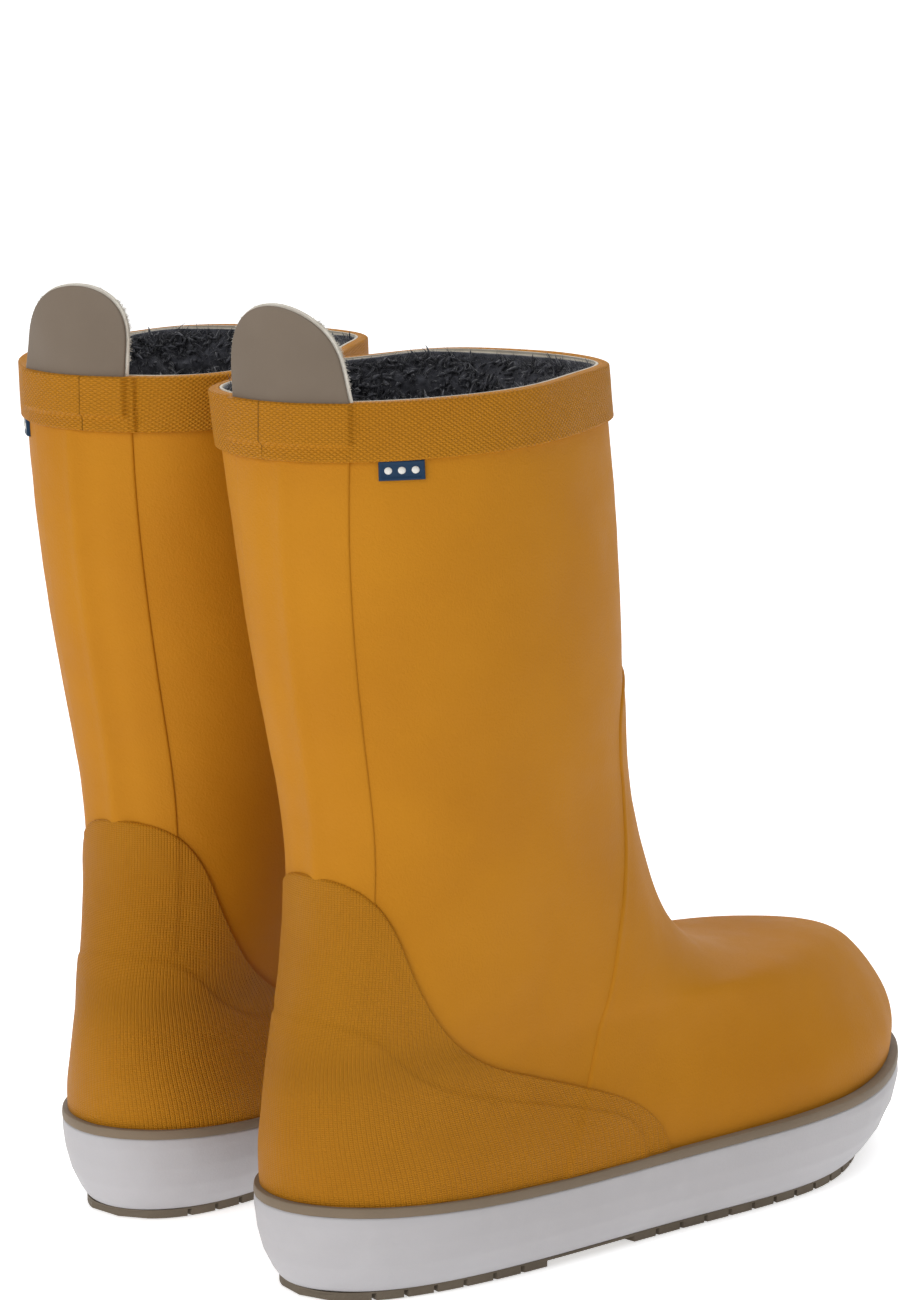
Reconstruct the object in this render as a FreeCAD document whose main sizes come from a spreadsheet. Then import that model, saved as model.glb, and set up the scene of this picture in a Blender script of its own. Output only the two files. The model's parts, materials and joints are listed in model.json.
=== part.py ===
"""A pair of pile-lined rubber deck boots, as a parametric FreeCAD document in millimetres.

Each boot is modelled in its own frame: +Y towards the toe, +X towards the outer side of the right
boot, +Z up, with the floor at z = 0. The left boot is the mirror image of the right one. The pair
stands toed out, and its origin is the centre of the pair's footprint on the floor.
"""
import FreeCAD, Part

import math
import os

from FreeCAD import Placement, Rotation, Vector
from Sketcher import Constraint

doc = FreeCAD.newDocument("deck_boots")
sheet = doc.addObject("Spreadsheet::Sheet", "sizes")

# ------------------------------------------------------------------ driving dimensions
SIZES = {
    # how the pair stands
    "boot_spacing": (137.0, "distance between the two boots' centre lines"),
    "boot_stagger": (27.6, "how far the left boot stands in front of the right one"),
    "toe_out": (7.0, "angle that each boot turns outwards, degrees"),
    # thickness of each layer of the upper
    "film": (0.2, "cement film between two bonded layers"),
    "shell_wall": (1.6, "rubber of the leg and foot shell"),
    "canvas_wall": (0.8, "cotton canvas bonded inside the shell"),
    "pile_wall": (4.8, "pile lining with its backing"),
    "overlay_wall": (1.0, "vamp, back stay and heel stiffener"),
    "counter_lift": (2.2, "outer face of the heel counter above the shell"),
    "band_wall": (1.7, "rim band"),
    "puff_wall": (0.9, "toe puff"),
    # rim band and pull tab
    "band_height": (18.5, "rim band, top to bottom"),
    "tab_width": (42.5, "pull tab across the back"),
    "tab_shift": (6.0, "pull tab's centre, towards the outer side"),
    "tab_rise": (29.0, "pull tab above the rim"),
    "tab_lean": (4.0, "lean of the tab's top towards the inner side, and its taper on each side"),
    "tab_root": (12.0, "pull tab held under the band"),
    "tab_face_wall": (1.2, "rubber face of the tab"),
    "tab_felt_wall": (1.0, "felt backing of the tab"),
    "tab_clear": (1.5, "room under the free part of the tab, where it folds"),
    # back stay
    "stay_top_width": (45.0, "back stay at the rim"),
    "stay_low_width": (37.0, "back stay where it goes under the counter"),
    "stay_low_shift": (0.0, "back stay's centre at the ankle, towards the outer side"),
    "stay_low_z": (93.0, "lower end of the back stay"),
    # badge on the outer side
    "badge_width": (14.5, "badge along the leg's girth"),
    "badge_height": (6.8, "badge, top to bottom"),
    "badge_wall": (1.0, "badge plate"),
    "badge_turn": (38.0, "badge centre, turned from the back centre line, degrees"),
    "stud_radius": (1.25, "round stud on the badge"),
    "stud_rise": (0.5, "stud above the badge plate"),
    "stud_pitch": (4.2, "distance from one stud to the next"),
    # sole
    "tread_drop": (3.2, "how far the tread stands below the sidewall"),
    "tread_plate": (3.4, "solid rubber above the tread's grooves"),
    "waist_lift": (2.0, "recess of the tread under the arch"),
    "toe_spring": (4.5, "rise of the sole at the toe"),
    "side_wall": (3.8, "sidewall rubber below the upper"),
    "stripe_height": (3.2, "stripe along the sidewall's top"),
    "board_wall": (2.6, "insole board"),
    "foam_wall": (4.0, "footbed foam"),
    "cover_wall": (2.2, "footbed pile cover"),
    "sipe_width": (1.6, "groove across the tread"),
    "sipe_pitch": (11.0, "distance from one groove to the next"),
    "sipe_swing": (4.0, "height of the groove's zigzag"),
    "shank_length": (110.0, "steel shank"),
    "shank_width": (16.0, "steel shank"),
    "shank_wall": (1.2, "steel shank"),
    "shank_y": (-30.0, "middle of the shank, behind the middle of the foot"),
    "shank_z": (14.0, "underside of the shank"),
}

# Sections of the last, from the sole up: back y and z, front y and z, largest half width,
# roundness (0 is foot-shaped, 1 is oval), fullness of the front corners and of the inner back one.
SECTIONS = {
    "feather": (-142.0, 24.0, 148.5, 28.0, 54.0, 0.00, 0.50, 0.50),
    "welt": (-144.5, 40.0, 153.5, 47.0, 52.5, 0.00, 0.50, 0.50),
    "toe_low": (-145.5, 54.0, 144.5, 64.0, 47.0, 0.08, 0.50, 0.50),
    "toe_high": (-144.5, 68.0, 124.5, 79.0, 43.0, 0.20, 0.50, 0.50),
    "toe_top": (-141.5, 83.0, 72.0, 82.5, 41.0, 0.42, 0.50, 0.50),
    "instep": (-136.5, 100.0, 33.5, 96.5, 41.0, 0.62, 0.50, 0.50),
    "ankle_low": (-133.0, 120.0, 15.0, 124.5, 42.0, 0.82, 0.50, 0.50),
    "ankle": (-132.5, 146.0, 4.5, 153.5, 44.0, 1.00, 0.50, 0.50),
    "calf_low": (-138.0, 181.0, -1.5, 186.0, 48.0, 1.00, 0.50, 0.50),
    "calf": (-145.0, 220.0, -6.5, 223.0, 51.2, 1.00, 0.52, 0.50),
    "calf_high": (-149.0, 259.0, -14.0, 263.0, 53.2, 1.00, 0.55, 0.54),
    "rim": (-149.0, 292.0, -26.0, 299.0, 53.8, 1.00, 0.66, 0.62),
}
SECTION_SIZES = ("back_y", "back_z", "front_y", "front_z", "half_width", "oval", "corner", "back_corner")
# Half widths as shares of the largest, at 30, 60, 90, 120 and 150 degrees from the back centre.
FOOT_OUTER = (0.54, 0.79, 0.91, 0.97, 0.56)
FOOT_INNER = (0.53, 0.72, 0.72, 0.94, 0.70)
OVAL = (0.5, math.sqrt(0.75), 1.0, math.sqrt(0.75), 0.5)
RING_POINTS = 36


def fill_sheet():
    """Writes every driving dimension to the sheet, one alias each."""
    row = 1
    for alias, (value, note) in SIZES.items():
        sheet.set(f"A{row}", note)
        sheet.set(f"B{row}", str(value))
        sheet.setAlias(f"B{row}", alias)
        row += 1
    for name, values in SECTIONS.items():
        sheet.set(f"A{row}", f"last section: {name}")
        for column, key, value in zip("BCDEFGHI", SECTION_SIZES, values):
            sheet.set(f"{column}{row}", str(value))
            sheet.setAlias(f"{column}{row}", f"{name}_{key}")
        row += 1
    doc.recompute()


def size(alias):
    return float(getattr(sheet, alias))


# ------------------------------------------------------------------ the last's surface
def closed_curve(points):
    """A smooth closed curve through the points."""
    curve = Part.BSplineCurve()
    curve.interpolate(
        Points=points, Parameters=[float(i) for i in range(len(points) + 1)], PeriodicFlag=True
    )
    return curve


def ring(back, front, outer, inner):
    """Closed outline from a back point to a front point, with half widths on either side."""
    along = front - back
    angles = [30, 60, 90, 120, 150]
    spots = [(1 - math.cos(math.radians(a))) / 2 for a in angles]
    points = [back]
    points += [back + along * s + Vector(w, 0, 0) for s, w in zip(spots, outer)]
    points += [front]
    points += [back + along * s - Vector(w, 0, 0) for s, w in reversed(list(zip(spots, inner)))]
    curve = closed_curve(points)
    step = len(points) / RING_POINTS
    return [curve.value(i * step) for i in range(RING_POINTS)]


def section_ring(name):
    """The points of one section of the last."""
    value = {key: size(f"{name}_{key}") for key in SECTION_SIZES}
    oval_outer = OVAL[:4] + (value["corner"],)
    oval_inner = (value["back_corner"],) + OVAL[1:4] + (value["corner"],)
    round_share = value["oval"]

    def widths(foot, oval):
        return [
            value["half_width"] * ((1 - round_share) * f + round_share * o)
            for f, o in zip(foot, oval)
        ]

    back = Vector(0, value["back_y"], value["back_z"])
    front = Vector(0, value["front_y"], value["front_z"])
    return ring(back, front, widths(FOOT_OUTER, oval_outer), widths(FOOT_INNER, oval_inner))


def outward_normals(rings):
    """The surface's outward normal at every point; in the end sections it stays in their plane."""
    normals = []
    last = len(rings) - 1
    for i, points in enumerate(rings):
        above, below = rings[min(i + 1, last)], rings[max(i - 1, 0)]
        plane = (points[RING_POINTS // 4] - points[0]).cross(points[RING_POINTS // 2] - points[0])
        plane.normalize()
        row = []
        for k in range(RING_POINTS):
            across = points[(k + 1) % RING_POINTS] - points[k - 1]
            normal = across.cross(above[k] - below[k])
            if i in (0, last):
                normal = normal - plane * normal.dot(plane)
            row.append(normal.normalize())
        normals.append(row)
    return normals


def make_loft(rings):
    wires = [Part.Wire([closed_curve(points).toShape()]) for points in rings]
    return Part.makeLoft(wires, True, False)


class Last:
    """The last as a solid, at any distance outside (+) or inside (-) the shell's outer face."""

    def __init__(self):
        self.rings = [section_ring(name) for name in SECTIONS]
        self.normals = outward_normals(self.rings)
        self.made = {}

    def solid(self, distance):
        key = round(distance, 3)
        if key not in self.made:
            rings = [
                [p + n * distance for p, n in zip(points, row)]
                for points, row in zip(self.rings, self.normals)
            ]
            self.made[key] = make_loft(rings)
        return self.made[key]

    def layer(self, outside, inside):
        return self.solid(outside).cut(self.solid(inside))


# ------------------------------------------------------------------ cutting shapes
REACH = 400.0


def side_prism(corners):
    """Side-view region with straight edges through (y, z) corners, extruded across the boot."""
    spots = [Vector(-REACH / 2, y, z) for y, z in corners]
    return Part.Face(Part.makePolygon(spots + [spots[0]])).extrude(Vector(REACH, 0, 0))


def under_curve(points, flat_from=None, floor_z=-50.0):
    """Everything under a side-view curve towards the toe, with a flat run before it if one is given."""
    spots = [Vector(-REACH / 2, y, z) for y, z in points]
    curve = Part.BSplineCurve()
    curve.interpolate(spots)
    corners = [spots[-1], Vector(-REACH / 2, spots[-1].y, floor_z)]
    if flat_from is None:
        corners += [Vector(-REACH / 2, spots[0].y, floor_z), spots[0]]
    else:
        start = Vector(-REACH / 2, flat_from, spots[0].z)
        corners += [Vector(-REACH / 2, flat_from, floor_z), start, spots[0]]
    lines = [Part.makeLine(a, b) for a, b in zip(corners, corners[1:])]
    return Part.Face(Part.Wire([curve.toShape()] + lines)).extrude(Vector(REACH, 0, 0))


def box_between(low, high):
    extent = high - low
    return Part.makeBox(extent.x, extent.y, extent.z, low)


def rim_height(y):
    """Height of the rim's plane at y."""
    y0, z0 = size("rim_back_y"), size("rim_back_z")
    y1, z1 = size("rim_front_y"), size("rim_front_z")
    return z0 + (z1 - z0) * (y - y0) / (y1 - y0)


def above_rim_plane(drop):
    """Everything above the plane that lies the given distance under the rim."""
    back, front = -REACH / 2, REACH / 2
    high = 500.0
    corners = [(back, rim_height(back) - drop), (front, rim_height(front) - drop), (front, high), (back, high)]
    return side_prism(corners)


def feather_height(y):
    """Height of the upper's lower edge at y."""
    y0, z0 = size("feather_back_y"), size("feather_back_z")
    y1, z1 = size("feather_front_y"), size("feather_front_z")
    return z0 + (z1 - z0) * (y - y0) / (y1 - y0)


def feather_slab(low, high):
    """Everything between two planes parallel to the upper's lower edge."""
    back, front = -REACH / 2, REACH / 2
    corners = [
        (back, feather_height(back) + low),
        (front, feather_height(front) + low),
        (front, feather_height(front) + high),
        (back, feather_height(back) + high),
    ]
    return side_prism(corners)


def back_strip(low_z, low_width, high_z, high_width, low_x=None, front_y=-90.0):
    """Tapered strip seen from behind, through the back of the boot; its top is under the tab."""
    high_x = size("tab_shift")
    low_x = high_x if low_x is None else low_x
    corners = [
        Vector(low_x - low_width / 2, front_y, low_z),
        Vector(low_x + low_width / 2, front_y, low_z),
        Vector(high_x + high_width / 2, front_y, high_z),
        Vector(high_x - high_width / 2, front_y, high_z),
    ]
    face = Part.Face(Part.makePolygon(corners + [corners[0]]))
    return face.extrude(Vector(0, -REACH / 2, 0))


# ------------------------------------------------------------------ sole outlines
SOLE_BACK_Y, SOLE_FRONT_Y, SOLE_HALF_WIDTH = -148.0, 156.8, 58.5
SOLE_OUTER = (0.53, 0.79, 0.91, 0.98, 0.55)
SOLE_INNER = (0.52, 0.72, 0.72, 0.94, 0.69)

# The sidewall leans in towards the floor, most of all at the toe: inset, height, pull at the toe.
SIDE_LEVELS = (
    (12.0, -3.0, 12.0), (8.6, 2.5, 9.0), (5.6, 7.0, 6.5), (3.0, 12.5, 3.8), (1.1, 19.5, 1.2),
    (0.1, 27.0, 0.0), (0.4, 34.0, 0.0), (1.0, 40.0, 0.0),
)


def sole_ring(inset, z, toe_pull=0.0):
    """The sole's outline at one height, drawn in by the inset and shortened at the toe."""
    back = Vector(0, SOLE_BACK_Y, z)
    front = Vector(0, SOLE_FRONT_Y - toe_pull, z)
    outer = [SOLE_HALF_WIDTH * share for share in SOLE_OUTER]
    inner = [SOLE_HALF_WIDTH * share for share in SOLE_INNER]
    points = ring(back, front, outer, inner)
    drawn_in = []
    for k, point in enumerate(points):
        across = points[(k + 1) % RING_POINTS] - points[k - 1]
        normal = across.cross(Vector(0, 0, 1)).normalize()
        drawn_in.append(point - normal * inset)
    return drawn_in


def sole_prism(inset, low, high, toe_pull=0.0):
    wire = Part.Wire([closed_curve(sole_ring(inset, low, toe_pull)).toShape()])
    return Part.Face(wire).extrude(Vector(0, 0, high - low))


# ------------------------------------------------------------------ the pieces of one boot
COUNTER_EDGE = [
    (-175, 141), (-150, 140), (-131, 138.5), (-123, 130), (-114.5, 108), (-103, 87),
    (-88, 74.5), (-68, 66.5), (-45, 58.5), (-27, 51), (-15, 41), (-10, 22),
]
STIFFENER_EDGE = [(-175, 93), (-150, 93), (-132, 91), (-116, 76), (-85, 61.5), (-41, 50), (-27, 43), (-22, 22)]
VAMP_EDGE = [
    (20, 199), (-6, 197), (-21, 189), (-25, 175), (-21, 157), (-20.5, 143), (-23, 128),
    (-28, 109), (-33, 88), (-42, 62), (-52, 46), (-70, 15),
]


def upper_pieces(last):
    film = size("film")
    shell_in = -size("shell_wall")
    canvas_out = shell_in - film
    canvas_in = canvas_out - size("canvas_wall")
    puff_out = canvas_in - film
    puff_in = puff_out - size("puff_wall")
    pile_out = canvas_in - film
    pile_in = pile_out - size("pile_wall")
    overlay_out = film + size("overlay_wall")

    pieces = {}
    pieces["upper_shell"] = last.layer(0.0, shell_in)
    pieces["canvas_backing"] = last.layer(canvas_out, canvas_in)

    # Toe puff, between the canvas and the lining, over the toes.
    toe_zone = side_prism([(98, 95), (92, 60), (88, 40), (86, 20), (300, 20), (300, 95)])
    above_board = feather_slab(size("board_wall") + film, REACH)
    pieces["toe_puff"] = last.layer(puff_out, puff_in).common(toe_zone).common(above_board)
    grown_zone = side_prism([(97.4, 120), (91.4, 60), (87.4, 40), (85.4, 10), (300, 10), (300, 120)])
    puff_room = last.layer(pile_out + 5 * film, puff_in - film).common(grown_zone)
    lining = last.layer(pile_out, pile_in).common(above_board).cut(above_rim_plane(2.5))
    pieces["pile_lining"] = lining.cut(puff_room)

    # Overlays outside the shell.
    vamp_zone = edge_region(VAMP_EDGE, (300, 15), (300, 199))
    pieces["vamp"] = last.layer(overlay_out, film).common(vamp_zone)
    stiff_zone = edge_region(STIFFENER_EDGE, (-22, -10), (-175, -10))
    pieces["heel_stiffener"] = last.layer(overlay_out, film).common(stiff_zone).cut(
        edge_region(VAMP_EDGE, (300, 15), (300, 199), shift=-0.4)
    )
    stay = last.layer(overlay_out, film).common(stay_strip(0.0))
    tab_pocket_low = size("rim_back_z") - size("tab_root") - 0.6
    tab_pocket = back_strip(tab_pocket_low, size("tab_width") + 1.2, 330.0, size("tab_width") + 1.2)
    pieces["back_stay"] = stay.cut(tab_pocket).cut(stiff_zone)

    counter_zone = edge_region(COUNTER_EDGE, (-10, -10), (-175, -10))
    beneath = last.solid(overlay_out + film).common(
        stay_strip(film).fuse(edge_region(STIFFENER_EDGE, (-22, -10), (-175, -10), shift=0.8))
    )
    beneath_vamp = last.solid(overlay_out + film).common(edge_region(VAMP_EDGE, (300, 15), (300, 199), shift=-0.8))
    counter = last.layer(size("counter_lift"), film).common(counter_zone)
    pieces["heel_counter"] = counter.cut(beneath).cut(beneath_vamp)

    # Rim band, with room for the tab's root and the back stay beneath it.
    tab_out = film + size("tab_felt_wall") + film + size("tab_face_wall")
    band_zone = above_rim_plane(size("band_height"))
    band = last.layer(overlay_out + film + size("band_wall"), film).common(band_zone)
    bulge_low = tab_pocket_low - 3.0
    bulge_width = size("tab_width") + 8.0
    bulge = last.layer(tab_out + film + size("band_wall"), film).common(band_zone)
    bulge = bulge.common(back_strip(bulge_low, bulge_width, 330.0, bulge_width))
    under_tab = last.solid(tab_out + film).common(tab_pocket)
    under_stay = last.solid(overlay_out + film).common(stay_strip(film))
    pieces["rim_band"] = band.fuse(bulge).cut(under_tab).cut(under_stay)

    # Root of the pull tab, cemented between the shell and the band.
    root_low = size("rim_back_z") - size("tab_root")
    root_zone = back_strip(root_low, size("tab_width"), 330.0, size("tab_width"))
    pieces["pull_tab_root"] = last.layer(tab_out, film).common(root_zone)
    pieces.update(tab_pieces(last))
    pieces.update(badge_pieces(last))
    return pieces


def stay_strip(grow):
    """The back stay's strip, seen from behind, grown on every side."""
    low_width, high_width = size("stay_low_width") + 2 * grow, size("stay_top_width") + 2 * grow
    return back_strip(size("stay_low_z") - grow, low_width, 310.0, high_width, size("stay_low_shift"))


def edge_region(edge, after, before, shift=0.0):
    """Side-view region bounded by a smooth edge, given from back or top, and two far corners."""
    spots = [Vector(-REACH / 2, y + shift, z) for y, z in edge]
    curve = Part.BSplineCurve()
    curve.interpolate(spots)
    far = [Vector(-REACH / 2, y, z) for y, z in (after, before)]
    lines = [Part.makeLine(spots[-1], far[0]), Part.makeLine(far[0], far[1]), Part.makeLine(far[1], spots[0])]
    return Part.Face(Part.Wire([curve.toShape()] + lines)).extrude(Vector(REACH, 0, 0))


def tab_pieces(last):
    """Free part of the pull tab: a curved flap with a round top, rubber outside and felt inside."""
    film = size("film")
    felt_in, felt_out = film, film + size("tab_felt_wall")
    face_in = felt_out + film
    face_out = face_in + size("tab_face_wall")
    rim = last.rings[-1]
    normals = last.normals[-1]
    low = size("rim_back_z") + size("tab_clear")
    high = size("rim_back_z") + size("tab_rise")
    half = size("tab_width") / 2

    def wall(outside, inside):
        wires = []
        for distance in (outside, inside):
            points = [Vector(p.x + n.x * distance, p.y + n.y * distance, low) for p, n in zip(rim, normals)]
            wires.append(Part.Wire([closed_curve(points).toShape()]))
        up = Vector(0, 0, high - low + 1)
        return Part.Face(wires[0]).extrude(up).cut(Part.Face(wires[1]).extrude(up))

    # Outline of the flap seen from behind: tapered sides and a round top that leans inwards.
    lean = size("tab_lean")
    rise = high - low
    shape = [(1.0, -1.0), (1.0, 2.0), (0.92, 12.0), (0.70, 20.5), (0.37, rise - 2.2), (0.0, rise)]
    sides = [
        (half * share * (1 - lean * max(up, 0) / rise / half), -lean * max(up, 0) / rise, low + up)
        for share, up in shape
    ]
    points = [Vector(shift - x, -90, z) for x, shift, z in sides]
    points += [Vector(shift + x, -90, z) for x, shift, z in reversed(sides[:-1])]
    points = [p + Vector(size("tab_shift"), 0, 0) for p in points]
    curve = Part.BSplineCurve()
    curve.interpolate(points)
    outline = Part.Wire([curve.toShape(), Part.makeLine(points[-1], points[0])])
    flap = Part.Face(outline).extrude(Vector(0, -REACH / 4, 0))
    return {
        "pull_tab_face": wall(face_out, face_in).common(flap),
        "pull_tab_felt": wall(felt_out, felt_in).common(flap),
    }


def badge_pieces(last):
    """Badge on the outer side, just under the rim band: a plate with three round studs."""
    film = size("film")
    turn = math.radians(size("badge_turn"))
    middle_y = (size("calf_high_back_y") + size("calf_high_front_y")) / 2
    badge_y = middle_y - (middle_y - size("calf_high_back_y")) * math.cos(turn)
    high = rim_height(badge_y) - size("band_height") - 0.5
    low = high - size("badge_height")
    plate_in, plate_out = film, film + size("badge_wall")
    width = size("badge_width")

    def turned(tool):
        tool.rotate(Vector(0, 0, 0), Vector(0, 0, 1), size("badge_turn"))
        tool.translate(Vector(0, middle_y, 0))
        return tool

    window = turned(Part.makeBox(width, REACH / 2, high - low, Vector(-width / 2, -REACH / 2, low)))
    plate = last.layer(plate_out, plate_in).common(window)
    relief = last.layer(plate_out + size("stud_rise"), plate_out)
    studs = []
    for step in (-1, 0, 1):
        foot = Vector(step * size("stud_pitch"), 0, (low + high) / 2)
        rod = Part.makeCylinder(size("stud_radius"), REACH / 2, foot, Vector(0, -1, 0))
        studs.append(relief.common(turned(rod)))
    return {"badge_plate": plate, "badge_studs": Part.makeCompound(studs)}


def sole_pieces(last):
    film = size("film")
    drop = size("tread_drop")
    plate_top = drop + size("tread_plate")
    spring = size("toe_spring")
    side_in = size("side_wall")
    pieces = {}

    # Underside of the sole: flat at the heel and ball, and rising towards the toe.
    def underside(lift):
        curve = [(60 + 15 * i, lift + spring * (i / 7) ** 2) for i in range(11)]
        return under_curve(curve, flat_from=-200)

    # Top edge of the sidewall and of its stripe.
    def top_edge(lift):
        line = [(-200, 35.0), (-149, 34.0), (-90, 32.0), (-20, 31.5), (60, 32.5), (120, 34.5), (160, 36.5), (210, 39.5)]
        return under_curve([(y, z + lift) for y, z in line])

    block = make_loft([sole_ring(*level) for level in SIDE_LEVELS])
    around_upper = last.solid(size("counter_lift") + film)
    inner_room = make_loft([sole_ring(inset + side_in + film, z, pull) for inset, z, pull in SIDE_LEVELS[:7]])
    wall = block.cut(underside(drop)).cut(around_upper).cut(inner_room)
    stripe_low = -size("stripe_height")
    pieces["sole_sidewall"] = wall.common(top_edge(stripe_low - film))
    pieces["sole_stripe"] = wall.common(top_edge(0.0)).cut(top_edge(stripe_low))

    # Midsole fills the sidewall up to the upper's lower edge.
    core = make_loft([sole_ring(inset + side_in + 2 * film, z, pull) for inset, z, pull in SIDE_LEVELS])
    under_upper = feather_slab(-REACH, -film)
    midsole = core.common(under_upper).cut(underside(plate_top + film))
    half_width, half_length = size("shank_width") / 2 + film, size("shank_length") / 2 + film
    shank_room = box_between(
        Vector(-half_width, size("shank_y") - half_length, size("shank_z") - film),
        Vector(half_width, size("shank_y") + half_length, size("shank_z") + size("shank_wall") + film),
    )
    pieces["midsole"] = midsole.cut(shank_room)

    # Tread: a plate with zigzag grooves, recessed under the arch.
    plate = sole_prism(side_in + 9.4, -5.0, 40.0, 9.4).common(underside(plate_top))
    lugs = sole_prism(8.8, -5.0, 40.0, 9.2).common(underside(drop - film))
    tread = plate.fuse(lugs).cut(underside(0.0))
    waist = box_between(Vector(-REACH / 2, -62.0, -5.0), Vector(REACH / 2, -22.0, size("waist_lift")))
    tread = tread.cut(waist)
    grooves = [groove(y) for y in groove_rows()]
    pieces["tread"] = tread.cut(Part.makeCompound(grooves))

    # Insole board inside the shell, and the loose footbed on it.
    canvas_in = -(size("shell_wall") + film + size("canvas_wall"))
    inside = last.solid(canvas_in - film)
    pieces["insole_board"] = inside.common(feather_slab(0.0, size("board_wall")))
    pieces.update(footbed_pieces())
    return pieces


def groove_rows():
    """Centre of each groove, in the heel and in the forepart."""
    pitch = size("sipe_pitch")
    heel = [-138 + pitch * i for i in range(7)]
    forepart = [-12 + pitch * i for i in range(14)]
    return heel + forepart


def groove(y):
    """One zigzag groove across the tread, following the toe spring's depth."""
    width, swing = size("sipe_width"), size("sipe_swing")
    half_turns = 8
    reach_x = 64.0
    upper_row, lower_row = [], []
    for i in range(half_turns + 1):
        x = -reach_x + 2 * reach_x * i / half_turns
        middle = y + (swing / 2 if i % 2 else -swing / 2)
        upper_row.append(Vector(x, middle + width / 2, -3.0))
        lower_row.append(Vector(x, middle - width / 2, -3.0))
    corners = upper_row + lower_row[::-1]
    spring = size("toe_spring")
    rise = max(0.0, (y - 60) / 98.0) ** 1.5 * spring
    depth = 3.0 + 2.4 + rise
    return Part.Face(Part.makePolygon(corners + [corners[0]])).extrude(Vector(0, 0, depth))


def footbed_pieces():
    """Loose footbed: foam with a pile cover, narrow enough to lift out past the lining."""
    film = size("film")
    low = size("board_wall") + 1.5 * film
    top = low + size("foam_wall")
    outer = (20.0, 26.5, 33.0, 38.5, 24.5)
    inner = (20.0, 25.5, 27.0, 37.5, 28.0)
    back = Vector(0, -131.0, 0)
    front = Vector(0, 134.5, 0)
    wire = Part.Wire([closed_curve(ring(back, front, outer, inner)).toShape()])
    column = Part.Face(wire).extrude(Vector(0, 0, 80))
    return {
        "footbed_foam": column.common(feather_slab(low, top)),
        "footbed_cover": column.common(feather_slab(top + film, top + film + size("cover_wall"))),
    }


def shank_body():
    """Steel shank under the arch: a padded strip with rounded ends."""
    body = doc.addObject("PartDesign::Body", "shank_master")
    plane = next(f for f in body.Origin.OriginFeatures if f.Role == "XY_Plane")
    sketch = body.newObject("Sketcher::SketchObject", "shank_outline")
    sketch.AttachmentSupport = [(plane, "")]
    sketch.MapMode = "FlatFace"
    sketch.AttachmentOffset = Placement(Vector(0, size("shank_y"), size("shank_z")), Rotation())
    length, width = size("shank_length"), size("shank_width")
    corners = [
        Vector(-width / 2, -length / 2, 0), Vector(width / 2, -length / 2, 0),
        Vector(width / 2, length / 2, 0), Vector(-width / 2, length / 2, 0),
    ]
    for i, corner in enumerate(corners):
        sketch.addGeometry(Part.LineSegment(corner, corners[(i + 1) % 4]))
    for i in range(4):
        sketch.addConstraint(Constraint("Coincident", i, 2, (i + 1) % 4, 1))
    for i, kind in enumerate(("Horizontal", "Vertical", "Horizontal", "Vertical")):
        sketch.addConstraint(Constraint(kind, i))
    sketch.addConstraint(Constraint("Symmetric", 0, 1, 2, 1, -1, 1))
    wide = sketch.addConstraint(Constraint("DistanceX", 0, 1, 0, 2, width))
    long = sketch.addConstraint(Constraint("DistanceY", 1, 1, 1, 2, length))
    sketch.setExpression(f"Constraints[{wide}]", "sizes.shank_width")
    sketch.setExpression(f"Constraints[{long}]", "sizes.shank_length")
    pad = body.newObject("PartDesign::Pad", "shank_plate")
    pad.Profile = sketch
    pad.setExpression("Length", "sizes.shank_wall")
    doc.recompute()
    rounding = body.newObject("PartDesign::Fillet", "shank_corners")
    upright = [
        f"Edge{i}" for i, edge in enumerate(pad.Shape.Edges, start=1)
        if abs(edge.BoundBox.ZLength - size("shank_wall")) < 1e-6 and edge.BoundBox.XLength < 1e-6
    ]
    rounding.Base = (pad, upright)
    rounding.setExpression("Radius", "sizes.shank_width * 0.45")
    doc.recompute()
    return body


# ------------------------------------------------------------------ the pair
def stand(feature, side):
    """Binds a sub-part's place to the sheet: side is +1 for the right boot and -1 for the left."""
    feature.Placement = Placement(Vector(0, 0, 0), Rotation(Vector(0, 0, -side), size("toe_out")))
    sign = "" if side > 0 else "-"
    other = "-" if side > 0 else ""
    feature.setExpression("Placement.Base.x", f"{sign}sizes.boot_spacing / 2 - sizes.pair_x")
    feature.setExpression("Placement.Base.y", f"{other}sizes.boot_stagger / 2 - sizes.pair_y")
    feature.setExpression("Placement.Rotation.Angle", "sizes.toe_out")


def set_pair_centre(x, y):
    """Writes where the pair's footprint is centred, before it is moved to the origin."""
    row = len(SIZES) + len(SECTIONS) + 1
    for alias, value in (("pair_x", x), ("pair_y", y)):
        sheet.set(f"A{row}", "centre of the pair's footprint")
        sheet.set(f"B{row}", str(value))
        if sheet.getAlias(f"B{row}") is None:
            sheet.setAlias(f"B{row}", alias)
        row += 1
    doc.recompute()


def place_pair(pieces, body):
    """Adds each piece twice, right and mirrored left, and centres the pair's footprint."""
    set_pair_centre(0.0, 0.0)
    made = []
    pieces["shank"] = body.Shape
    for side, name in ((1, "right"), (-1, "left")):
        for piece, shape in pieces.items():
            feature = doc.addObject("Part::Feature", f"{name}_{piece}")
            feature.Shape = shape if side == 1 else shape.mirror(Vector(0, 0, 0), Vector(1, 0, 0))
            stand(feature, side)
            feature.Label = f"{name}_{piece}"
            made.append(feature)
    doc.recompute()
    outermost = [f for f in made if f.Label.endswith(("rim_band", "sole_sidewall"))]
    boxes = [f.Shape.optimalBoundingBox(False, False) for f in outermost]
    middle_x = (min(b.XMin for b in boxes) + max(b.XMax for b in boxes)) / 2
    middle_y = (min(b.YMin for b in boxes) + max(b.YMax for b in boxes)) / 2
    set_pair_centre(middle_x, middle_y)
    print("pair centre", size("pair_x"), size("pair_y"))
    print("boot stands at", made[0].Placement)
    return made


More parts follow.
